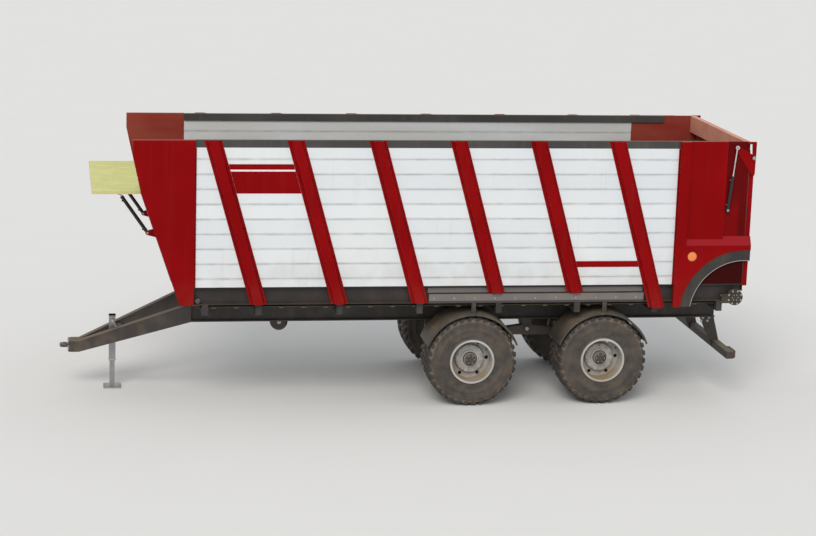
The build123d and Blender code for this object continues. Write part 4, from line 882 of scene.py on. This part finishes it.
def spring_clamp():
    """Round a spring's middle: U-bolts with their plate, a clip on each arm, heads on the eyes' pins."""
    shape = bmesh.new()
    leg_x, leg_y, clip_x, eye_x, eye_y = 0.070, 0.0475, 0.22, 0.450, 0.050
    add(shape, block((-0.092, -0.060, -0.077), (0.092, 0.060, -0.061), 0.003))
    corners = [(x, y) for x in (-leg_x, leg_x) for y in (-leg_y, leg_y)]
    add(shape, rod(0.0075, 0.266, 12), [Matrix.Translation((*corner, -0.104)) for corner in corners], 1)
    add(shape, bolt(0.022, 0.014), [facing((*corner, -0.077), DOWN) for corner in corners], 1)
    bows = [facing((x, -0.052, 0.160), RIGHT) for x in (-leg_x, leg_x)]
    add(shape, rod(0.0078, 0.104, 12, 0.003), bows, 1)
    for way in (-1, 1):
        tilt = Matrix.Rotation(math.radians(-13 * way), 4, "Y")
        clip = block((-0.011, -0.0455, -0.0245), (0.011, 0.0455, 0.0245), 0.002)
        add(shape, clip, [Matrix.Translation((clip_x * way, 0, 0.1405)) @ tilt])
        across = Matrix.Translation(((clip_x - 0.005) * way, -0.056, 0.171))
        add(shape, rod(0.005, 0.112, 10), [across @ Matrix.Rotation(math.radians(-90), 4, "X")], 1)
    heads = [facing((x, eye_y * way, 0.232), (0, way, 0), 0.4) for x in (-eye_x, eye_x) for way in (1, -1)]
    add(shape, bolt(0.030, 0.013), heads, 1)
    return shape


def brake_fittings():
    """Round a brake chamber's axis, from over the axle: clamp ring, nuts and ports, and the lever's yoke."""
    shape = bmesh.new()
    add(shape, rod(0.0735, 0.015, 40, 0.003), [facing((0.222, 0, 0), BEHIND)])
    add(shape, rod(0.010, 0.027, 12, 0.002), [facing((0.216, 0, z), BEHIND) for z in (-0.079, 0.079)], 1)
    add(shape, bolt(0.020, 0.012), [facing((0.178, y, 0), AHEAD) for y in (-0.040, 0.040)], 1)
    add(shape, bolt(0.018, 0.014), [facing((0.262, 0, 0.062), UP), facing((0.299, 0, 0), BEHIND)], 1)
    add(shape, block((0.096, -0.013, -0.013), (0.142, 0.013, 0.013), 0.003), finish=1)
    add(shape, rod(0.006, 0.046, 12, 0.001), [facing((0.110, -0.023, 0), RIGHT)], 1)
    return shape


class WAGON_OT_running_gear(bpy.types.Operator):
    """Make the springs' U-bolts and clips, the pins' heads and the brakes' fittings"""

    bl_idname = "wagon.running_gear"
    bl_label = "Running gear"

    def execute(self, context):
        places = axle_places()
        shape = bmesh.new()
        # Columns: what is made, how far out from the wagon's middle and over the axle it stands
        for make, out, lift in ((spring_clamp, 0.500, 0.0), (brake_fittings, 0.380, 0.120)):
            spots = [Matrix.Translation((x, side * out, z + lift)) for x, z in places for _, side in SIDES]
            add(shape, make(), spots)
        # The rockers' spindle between the axles
        _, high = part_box("spring_hangers")
        ends = outward_both((places[0][0] + places[1][0]) / 2, 0.5495, high.z - 0.140)
        add(shape, rod(0.044, 0.012, 32, 0.002), ends, 0)
        add(shape, bolt(0.050, 0.030), ends, 1)
        make_piece("running_gear", shape, ["weathered_chassis", "bolt_zinc"], "wagon")
        return {"FINISHED"}


class WAGON_OT_chassis_fittings(bpy.types.Operator):
    """Make the towing eye's and bumper's bolts, the jack's crank and the tank's bands"""

    bl_idname = "wagon.chassis_fittings"
    bl_label = "Chassis fittings"

    def execute(self, context):
        self.make_bolts()
        self.make_jack_fittings()
        self.make_tank_fittings()
        return {"FINISHED"}

    def make_bolts(self):
        """The bolts of the towing eye's plate and of the bumper's arms."""
        shape = bmesh.new()
        low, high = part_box("drawbar_eye")
        middle_z = (low.z + high.z) / 2
        heads = [
            facing((high.x - 0.030, y, middle_z + up), AHEAD, 0.3 * up)
            for y in (-0.086, 0.086)
            for up in (-0.054, 0.0, 0.054)
        ]
        add(shape, bolt(0.027, 0.013), heads)
        _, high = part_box("rear_bumper")
        heads = [
            outward(side, high.x - 0.265 + run, 0.506, 0.975 + up)
            for _, side in SIDES
            for run, up in ((0.0, 0.0), (0.09, 0.0), (0.02, 0.045), (0.11, 0.045))
        ]
        add(shape, bolt(0.022, 0.012), heads)
        make_piece("chassis_bolts", shape, ["bolt_zinc"], "wagon")

    def make_jack_fittings(self):
        """The jack's crank on its shaft, a collar over the leg, a pin through it and its cap."""
        low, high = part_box("parking_jack")
        jack_x, shaft_y, shaft_z = (low.x + high.x) / 2, low.y, high.z - 0.045
        shape = bmesh.new()
        hub = facing((jack_x, shaft_y + 0.022, shaft_z), (0, -1, 0))
        add(shape, rod(0.017, 0.026, 20, 0.003), [hub])
        arm = facing((jack_x, shaft_y + 0.008, shaft_z), (0.5, 0, -0.86))
        add(shape, rod(0.008, 0.150, 12, 0.002), [arm])
        grip = facing((jack_x + 0.075, shaft_y + 0.016, shaft_z - 0.129), RIGHT)
        add(shape, rod(0.014, 0.105, 20, 0.005), [grip], 1)
        add(shape, block((jack_x - 0.049, -0.049, 0.376), (jack_x + 0.049, 0.049, 0.398), 0.004, 2))
        add(shape, rod(0.008, 0.120, 12, 0.002), [facing((jack_x, -0.060, 0.330), RIGHT)])
        cap = block((jack_x - 0.048, -0.048, high.z - 0.012), (jack_x + 0.048, 0.048, high.z), 0.003)
        add(shape, cap, finish=1)
        make_piece("jack_fittings", shape, ["bolt_zinc", "seal_rubber"], "wagon")

    def make_tank_fittings(self):
        """Bands round the air tank, its drain and its end ports."""
        low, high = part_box("air_tank")
        tank_x, tank_z = (low.x + high.x) / 2, low.z + 0.120
        shape = bmesh.new()
        band = [(0.1202, -0.016), (0.1235, -0.016), (0.1235, 0.016), (0.1202, 0.016), (0.1202, -0.016)]
        add(shape, turned(band), [facing((tank_x, y, tank_z), RIGHT) for y in (-0.20, 0.20)])
        drain = Matrix.Translation((tank_x, 0.05, low.z + 0.003)) @ Matrix.Rotation(math.pi, 4, "X")
        add(shape, bolt(0.024, 0.012), [drain])
        add(shape, rod(0.006, 0.032, 12, 0.002), [drain])
        add(shape, bolt(0.034, 0.013), outward_both(tank_x, high.y - 0.001, tank_z))
        make_piece("tank_fittings", shape, ["bolt_zinc"], "wagon")


# Cylinders

# Columns: name, foot and head from the side, distance from the middle, barrel's radius and length,
# half the eye's width, what carries the foot's pin and the head's
CYLINDERS = (
    ("flap", (-3.4998, 2.300), (-3.880, 2.845), 0.680, 0.024, 0.600, 0.0273, "wagon", "front_flap"),
    ("gate", (4.300, 2.700), (4.385, 3.560), 1.252, 0.019, 0.470, 0.014, "wagon", "gate_rods"),
)


class WAGON_OT_cylinder_fittings(bpy.types.Operator):
    """Make the cylinders' glands, ports and pin heads"""

    bl_idname = "wagon.cylinder_fittings"
    bl_label = "Cylinder fittings"

    def execute(self, context):
        for name, foot, head, y, radius, reach, half_eye, foot_body, head_body in CYLINDERS:
            foot, head = Vector((foot[0], 0, foot[1])), Vector((head[0], 0, head[1]))
            along = (head - foot).normalized()
            port_way = Vector((-along.z, 0, along.x))
            shape = bmesh.new()
            pins = {foot_body: bmesh.new(), head_body: bmesh.new()}
            for _, side in SIDES:
                offset = Vector((0, side * y, 0))
                base = foot + offset
                gland = [facing(base + along * (reach - 0.022), along)]
                add(shape, rod(radius + 0.0022, 0.024, 32, 0.002), gland)
                add(shape, rod(radius * 0.78, 0.030, 32, 0.002), gland, 1)
                rings = [facing(base + along * share, along) for share in (0.050, 0.058)]
                add(shape, rod(radius + 0.0012, 0.003, 32), rings)
                ports = [
                    facing(base + along * share + port_way * (radius - 0.003), port_way)
                    for share in (0.075, reach - 0.055)
                ]
                add(shape, rod(0.010, 0.011, 16, 0.001), ports)
                add(shape, bolt(0.014, 0.016, False), ports, 1)
                # The gate's pins show only their outer ends
                ways = [Vector((0, way, 0)) for way in ((-1, 1) if name == "flap" else (side,))]
                for body, pin in ((foot_body, foot), (head_body, head)):
                    heads = [facing(pin + offset + way * half_eye, way) for way in ways]
                    add(pins[body], rod(0.016, 0.004, 24, 0.001), heads)
                    add(pins[body], rod(0.0105, 0.007, 20, 0.001), heads)
            finishes = ["cylinder_paint", "bolt_zinc"]
            make_piece(f"{name}_cylinder_fittings", shape, finishes, f"{name}_barrels")
            for body, pin_shape in pins.items():
                make_piece(f"{name}_pins_on_{body}", pin_shape, ["bolt_zinc"], body)
        return {"FINISHED"}


# Belt and its drive


class WAGON_OT_belt_fittings(bpy.types.Operator):
    """Make the slats' rivets and the drives' bolts"""

    bl_idname = "wagon.belt_fittings"
    bl_label = "Belt fittings"

    def execute(self, context):
        low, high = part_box("floor_belt")
        middle_x = (low.x + high.x) / 2
        shape = bmesh.new()
        places = [
            Matrix.Translation((middle_x + SLAT_PITCH * (number - (SLATS - 1) / 2) + run, y, high.z - 0.0004))
            for number in range(SLATS)
            for y in (-1.06, -0.62, -0.22, 0.22, 0.62, 1.06)
            for run in (-0.014, 0.014)
        ]
        add(shape, rod(0.0065, 0.0035, 10, 0.001), places)
        make_piece("slat_rivets", shape, ["bare_steel"], "wagon")

        low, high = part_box("belt_drives")
        hub = (high.x - 0.110, high.z - 0.110)
        shape = bmesh.new()
        for _, side in SIDES:
            add(shape, bolt(0.016, 0.008), circle(side, hub, high.y - 0.0125, 0.092, 8, 22.5))
            add(shape, rod(0.007, 0.0025, 12, 0.0006), circle(side, hub, high.y - 0.0008, 0.040, 6))
            motor = [
                facing((low.x + 0.0005, side * (1.237 + over), hub[1] - 0.020 + up), AHEAD)
                for over, up in ((-0.014, -0.045), (0.014, 0.045), (-0.014, 0.045), (0.014, -0.045))
            ]
            add(shape, bolt(0.010, 0.005), motor)
        make_piece("drive_bolts", shape, ["bolt_zinc"], "wagon")
        return {"FINISHED"}


# Body trim

# Out from the wagon's middle: the boards' outer face, and the flanges of the posts
WALL_Y, FLANGE_Y = 1.2155, 1.221


def post_x(body, number, z):
    """Where a post's middle is at a height: the posts lean, and pass here at the rail."""
    rail_x, rail_z, lean = -2.654, 3.536, 0.2856
    return rail_x + body.post_pitch * number + lean * (rail_z - z)


class WAGON_OT_post_bolts(bpy.types.Operator):
    """Make the bolts that hold the boards to the posts"""

    bl_idname = "wagon.post_bolts"
    bl_label = "Post bolts"

    def execute(self, context):
        body = context.scene.wagon_body
        posts, top_row, to_flange, turn_step = 6, 3.462, 0.1005, 0.37
        heights = [body.lowest_joint - 0.056]
        heights += [body.lowest_joint + body.board_pitch * (i + 0.5) for i in range(8)]
        heights.append(top_row)
        for side_name, side in SIDES:
            places = [
                outward(side, post_x(body, number, z) + edge, FLANGE_Y, z, turn_step * (number + row))
                for number in range(posts)
                for row, z in enumerate(heights)
                for edge in (-to_flange, to_flange)
            ]
            shape = bmesh.new()
            add(shape, bolt(body.bolt_size, 0.009), places)
            make_piece(f"post_bolts_{side_name}", shape, ["weathered_red"], "wagon")
        return {"FINISHED"}


class WAGON_OT_plates(bpy.types.Operator):
    """Make the left side's blank plate between the first posts and its blank strip between the last"""

    bl_idname = "wagon.plates"
    bl_label = "Blank plates"

    def execute(self, context):
        body = context.scene.wagon_body
        _, left = SIDES[0]
        upright = Matrix.Rotation(math.radians(90), 4, "X")
        to_edge, to_rivet, thick, thin = 0.116, 0.140, 0.004, 0.0008
        # Columns: name, post ahead, bottom and top, white line's bottom and top
        for name, post, low, high, line in (
            ("plate", 0, 2.930, 3.318, (3.222, 3.246)),
            ("strip", 4, 1.917, 1.998, None),
        ):
            shape = bmesh.new()
            # Columns: bottom and top, lift off the boards, thickness, finish
            bands = [(low, high, 0.0, thick, 0)]
            if line:
                bands.append((*line, thick, thin, 1))
            for z_low, z_high, lift, thickness, finish in bands:
                starts = [(post_x(body, post, z) + to_edge, z) for z in (z_low, z_high)]
                ends = [(post_x(body, post + 1, z) - to_edge, z) for z in (z_low, z_high)]
                corners = [starts[0], ends[0], ends[1], starts[1]]
                place = Matrix.Translation((0, left * (WALL_Y + lift), 0)) @ upright
                add(shape, slab(corners, thickness), [place], finish)
            rivets = [
                outward(left, post_x(body, post + number, z) + edge, WALL_Y + thick, z)
                for number, edge in ((0, to_rivet), (1, -to_rivet))
                for z in (low + 0.02, high - 0.02)
            ]
            add(shape, rod(0.007, 0.003, 12, 0.001), rivets)
            make_piece(f"blank_{name}", shape, ["weathered_red", "plate_white"], "wagon")
        return {"FINISHED"}


class WAGON_OT_side_trim(bpy.types.Operator):
    """Make the boards' end channels and the strip over the wheels"""

    bl_idname = "wagon.side_trim"
    bl_label = "Side trim"

    def execute(self, context):
        for side_name, side in SIDES:
            shape = bmesh.new()
            for ends in ((-2.911, -2.893), (3.585, 3.603)):
                add(shape, side_block(side, ends, (1.2145, 1.2235), (1.672, 3.534), 0.002))
            make_piece(f"end_channels_{side_name}", shape, ["weathered_red"], "wagon")

            # A dusty rubbing strip lies over the wheels, its face a little hollow
            shape = side_block(side, STRIP_ENDS, (1.2228, 1.2290), STRIP_HEIGHTS, 0.003, 2)
            face = [face for face in shape.faces if face.normal.y * side > 0.9]
            bmesh.ops.inset_region(shape, faces=face, thickness=0.012, depth=-0.002)
            bolts = [outward(side, 0.30 + 0.279 * i, 1.227, 1.497) for i in range(11)]
            add(shape, bolt(0.013, 0.006), bolts, 1)
            finishes = ["strip_plastic", "bolt_zinc"]
            make_piece(f"guard_strip_face_{side_name}", shape, finishes, "wagon")
        return {"FINISHED"}


class WAGON_OT_rear_trim(bpy.types.Operator):
    """Make the side lamps' lenses, the gate's seals, lip and pin heads, and the arches' lips"""

    bl_idname = "wagon.rear_trim"
    bl_label = "Rear trim"

    def execute(self, context):
        lens = [(0.0, 0.0175), (0.030, 0.0168), (0.056, 0.0138), (0.068, 0.008), (0.070, 0.0), (0.0, 0.0)]
        bezel = [
            (0.0705, 0.0), (0.0705, 0.0165), (0.066, 0.0178), (0.0635, 0.0160), (0.0655, 0.006), (0.068, 0.0),
        ]
        places = outward_both(3.836, 1.257, 2.065)
        shape = bmesh.new()
        add(shape, turned(lens), places)
        add(shape, turned(bezel), places, 1)
        finishes = ["lens_orange", "seal_rubber"]
        make_piece("side_lamp_lenses", shape, finishes, "wagon", ["side_lamps"])

        # Seals on the ends of the side walls
        shape = bmesh.new()
        for _, side in SIDES:
            add(shape, side_block(side, (4.5748, 4.5838), (1.1870, 1.2130), (1.680, 3.520), 0.003, 2))
        make_piece("gate_seals", shape, ["seal_rubber"], "wagon")

        # A lip under the gate closes the gap over the belt, as wide as the sills leave room, with its band
        # on the gate's face and its foot over the belt's end
        shape = block((4.5935, -1.180, 1.556), (4.6015, 1.180, 1.640), 0.002)
        add(shape, block((4.5865, -1.120, 1.636), (4.5945, 1.120, 1.690), 0.001))
        add(shape, block((4.5700, -1.130, 1.556), (4.5945, 1.130, 1.566), 0.002))
        make_piece("gate_lip", shape, ["seal_rubber"], "tailgate")

        shape = bmesh.new()
        heads = outward_both(4.630, 1.2478, 3.415)
        add(shape, rod(0.025, 0.006, 28, 0.0015), heads)
        add(shape, bolt(0.026, 0.013, False), heads)
        make_piece("hinge_pin_heads", shape, ["bolt_zinc"], "wagon")
        for side_name, side in SIDES:
            self.make_arch_lip(side_name, side)
        return {"FINISHED"}

    def make_arch_lip(self, side_name, side):
        """A light lip of bent edge strip along an arch, cut off at the sill and at the gate."""
        section = [(0.735, 0.040), (0.7435, 0.040), (0.7435, 0.0445), (0.735, 0.0445), (0.735, 0.040)]
        shape = bmesh.new()
        turn = Matrix.Translation((ARCH_CENTRE[0], side * 1.215, ARCH_CENTRE[2]))
        turn = turn @ Matrix.Rotation(math.radians(90), 4, "X") @ Matrix.Diagonal((1, 1, -side, 1))
        turn = turn @ Matrix.Rotation(math.radians(84), 4, "Z")
        add(shape, turned(section, 60, math.radians(96)), [turn])
        for point, cut_off in (((0, 0, 1.372), DOWN), ((4.652, 0, 0), BEHIND)):
            everything = [*shape.verts, *shape.edges, *shape.faces]
            bmesh.ops.bisect_plane(shape, geom=everything, plane_co=point, plane_no=cut_off, clear_outer=True)
        bmesh.ops.holes_fill(shape, edges=[edge for edge in shape.edges if edge.is_boundary], sides=8)
        bmesh.ops.recalc_face_normals(shape, faces=shape.faces)
        make_piece(f"arch_lip_{side_name}", shape, ["bolt_zinc"], "wagon")


class WAGON_OT_tail_lamps(bpy.types.Operator):
    """Make the tail lamps' lenses and the reflectors"""

    bl_idname = "wagon.tail_lamps"
    bl_label = "Tail lamps"

    def execute(self, context):
        low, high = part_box("rear_lamps")
        inner, width = 0.890, 0.240
        shape = bmesh.new()
        for _, side in SIDES:
            case = (low.x, low.x + 0.040), (inner, inner + width), (low.z, high.z)
            add(shape, side_block(side, *case, 0.004, 2))
            # Columns: a lens's start and end as shares of the width from the inner end, finish
            for start, end, finish in ((0.04, 0.30, 3), (0.32, 0.64, 1), (0.66, 0.96, 2)):
                ends = (inner + width * start, inner + width * end)
                depth, height = (low.x + 0.030, high.x), (low.z + 0.010, high.z - 0.010)
                add(shape, side_block(side, depth, ends, height, 0.006, 3), finish=finish)
        finishes = ["seal_rubber", "lens_red", "lens_orange", "lens_clear"]
        make_piece("tail_lamps", shape, finishes, "wagon", ["rear_lamps"])

        # Triangular reflectors on the bumper, point up
        _, bumper_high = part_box("rear_bumper")
        edge, corner_share = 0.078, 0.62
        reach = edge * corner_share
        corners = [(reach * math.sin(a), reach * math.cos(a)) for a in map(math.radians, (0, 240, 120))]
        shape = bmesh.new()
        for _, side in SIDES:
            add(shape, slab(corners, 0.006, 0.001), [facing((bumper_high.x, side * 0.780, 0.632), BEHIND)])
        make_piece("tail_reflectors", shape, ["lens_red"], "wagon")
        return {"FINISHED"}


# The stage


class WAGON_OT_stage(bpy.types.Operator):
    """Make the floor, the light and the camera at the photograph's viewpoint"""

    bl_idname = "wagon.stage"
    bl_label = "Stage"

    def execute(self, context):
        scene = context.scene
        self.make_floor(scene)
        self.make_sky(scene)
        self.make_sun(scene)
        self.make_camera(scene)
        scene.view_settings.view_transform = "Standard"
        return {"FINISHED"}

    def make_floor(self, scene):
        """A pale round floor that reaches the horizon."""
        shape = bmesh.new()
        bmesh.ops.create_circle(shape, cap_ends=True, segments=64, radius=400.0)
        mesh = bpy.data.meshes.new("floor")
        shape.to_mesh(mesh)
        shape.free()
        floor = bpy.data.objects.new("floor", mesh)
        scene.collection.objects.link(floor)
        f = Finish("floor")
        colour = scene.wagon_paint.floor
        grain = f.mix(f.noise(0.7, 4.0), colour, tuple(part * 0.97 for part in colour))
        mesh.materials.append(f.done(grain, 0.9))

    def make_sky(self, scene):
        """Soft light from all round, and a plain pale backdrop for the camera, metal and glass."""
        scene.world = bpy.data.worlds.new("sky")
        f = Tree(scene.world)
        light = f.tree.nodes["Background"]
        f.feed(light.inputs["Color"], (0.93, 0.96, 1.0))
        f.feed(light.inputs["Strength"], scene.wagon_stage.sky)
        backdrop = f.node("ShaderNodeBackground", {"Color": (0.80, 0.81, 0.82)})
        rays = f.node("ShaderNodeLightPath").outputs
        seen = f.maths("MAXIMUM", *(rays[f"Is {kind} Ray"] for kind in ("Camera", "Glossy", "Transmission")))
        choice = f.node("ShaderNodeMixShader", {0: seen, 1: light.outputs[0], 2: backdrop.outputs[0]})
        f.feed(f.tree.nodes["World Output"].inputs["Surface"], choice.outputs[0])

    def make_sun(self, scene):
        """A wide, soft light from above the left side."""
        light = bpy.data.lights.new("soft sun", "SUN")
        light.energy = scene.wagon_stage.sun
        light.angle = math.radians(32)
        light.color = (1.0, 0.97, 0.93)
        sun = bpy.data.objects.new("soft sun", light)
        sun.rotation_euler = Vector((-0.35, -0.85, 0.80)).to_track_quat("Z", "Y").to_euler()
        scene.collection.objects.link(sun)

    def make_camera(self, scene):
        """The camera where the photograph's stood, with a longer lens."""
        eye = bpy.data.cameras.new("camera")
        eye.lens = scene.wagon_stage.lens
        eye.sensor_width = 36.0
        eye.clip_end = 1000.0
        camera = bpy.data.objects.new("camera", eye)
        camera.location = (-4.69, -27.17, 7.74)
        aim = Vector((-0.656, 0.0, 2.275))
        level_view = (aim - camera.location).to_track_quat("-Z", "Y").to_matrix()
        camera.rotation_euler = (level_view @ Matrix.Rotation(scene.wagon_stage.roll, 3, "Z")).to_euler()
        # The photograph has the wagon off its middle, so its rails stay level there
        eye.shift_x, eye.shift_y = 0.069, -0.054
        scene.collection.objects.link(camera)
        scene.camera = camera


OPERATORS = (
    WAGON_OT_stage,
    WAGON_OT_finishes,
    WAGON_OT_tyres,
    WAGON_OT_wheel_fittings,
    WAGON_OT_running_gear,
    WAGON_OT_chassis_fittings,
    WAGON_OT_cylinder_fittings,
    WAGON_OT_belt_fittings,
    WAGON_OT_post_bolts,
    WAGON_OT_plates,
    WAGON_OT_side_trim,
    WAGON_OT_rear_trim,
    WAGON_OT_tail_lamps,
)
PROPERTIES = {
    "wagon_paint": WagonPaint,
    "wagon_body": WagonBody,
    "wagon_tread": WagonTread,
    "wagon_stage": WagonStage,
}


class WAGON_PT_panel(bpy.types.Panel):
    """The wagon's operators and its sizes and colours"""

    bl_idname = "WAGON_PT_panel"
    bl_label = "Silage wagon"
    bl_space_type = "VIEW_3D"
    bl_region_type = "UI"
    bl_category = "Wagon"

    def draw(self, context):
        for operator in OPERATORS:
            self.layout.operator(operator.bl_idname)
        for group in PROPERTIES:
            settings = getattr(context.scene, group)
            box = self.layout.box()
            for name in settings.bl_rna.properties.keys():
                if name not in ("rna_type", "name"):
                    box.prop(settings, name)


def register():
    for name, group in PROPERTIES.items():
        bpy.utils.register_class(group)
        setattr(bpy.types.Scene, name, PointerProperty(type=group))
    for shown in (*OPERATORS, WAGON_PT_panel):
        bpy.utils.register_class(shown)


def unregister():
    for shown in (WAGON_PT_panel, *reversed(OPERATORS)):
        bpy.utils.unregister_class(shown)
    for name, group in PROPERTIES.items():
        delattr(bpy.types.Scene, name)
        bpy.utils.unregister_class(group)


def main():
    register()
    bpy.ops.wagon.stage()
    bpy.ops.wagon.finishes()
    bpy.ops.wagon.tyres()
    bpy.ops.wagon.wheel_fittings()
    bpy.ops.wagon.running_gear()
    bpy.ops.wagon.chassis_fittings()
    bpy.ops.wagon.cylinder_fittings()
    bpy.ops.wagon.belt_fittings()
    bpy.ops.wagon.post_bolts()
    bpy.ops.wagon.plates()
    bpy.ops.wagon.side_trim()
    bpy.ops.wagon.rear_trim()
    bpy.ops.wagon.tail_lamps()
    bpy.context.view_layer.update()


if __name__ == "__main__":
    main()
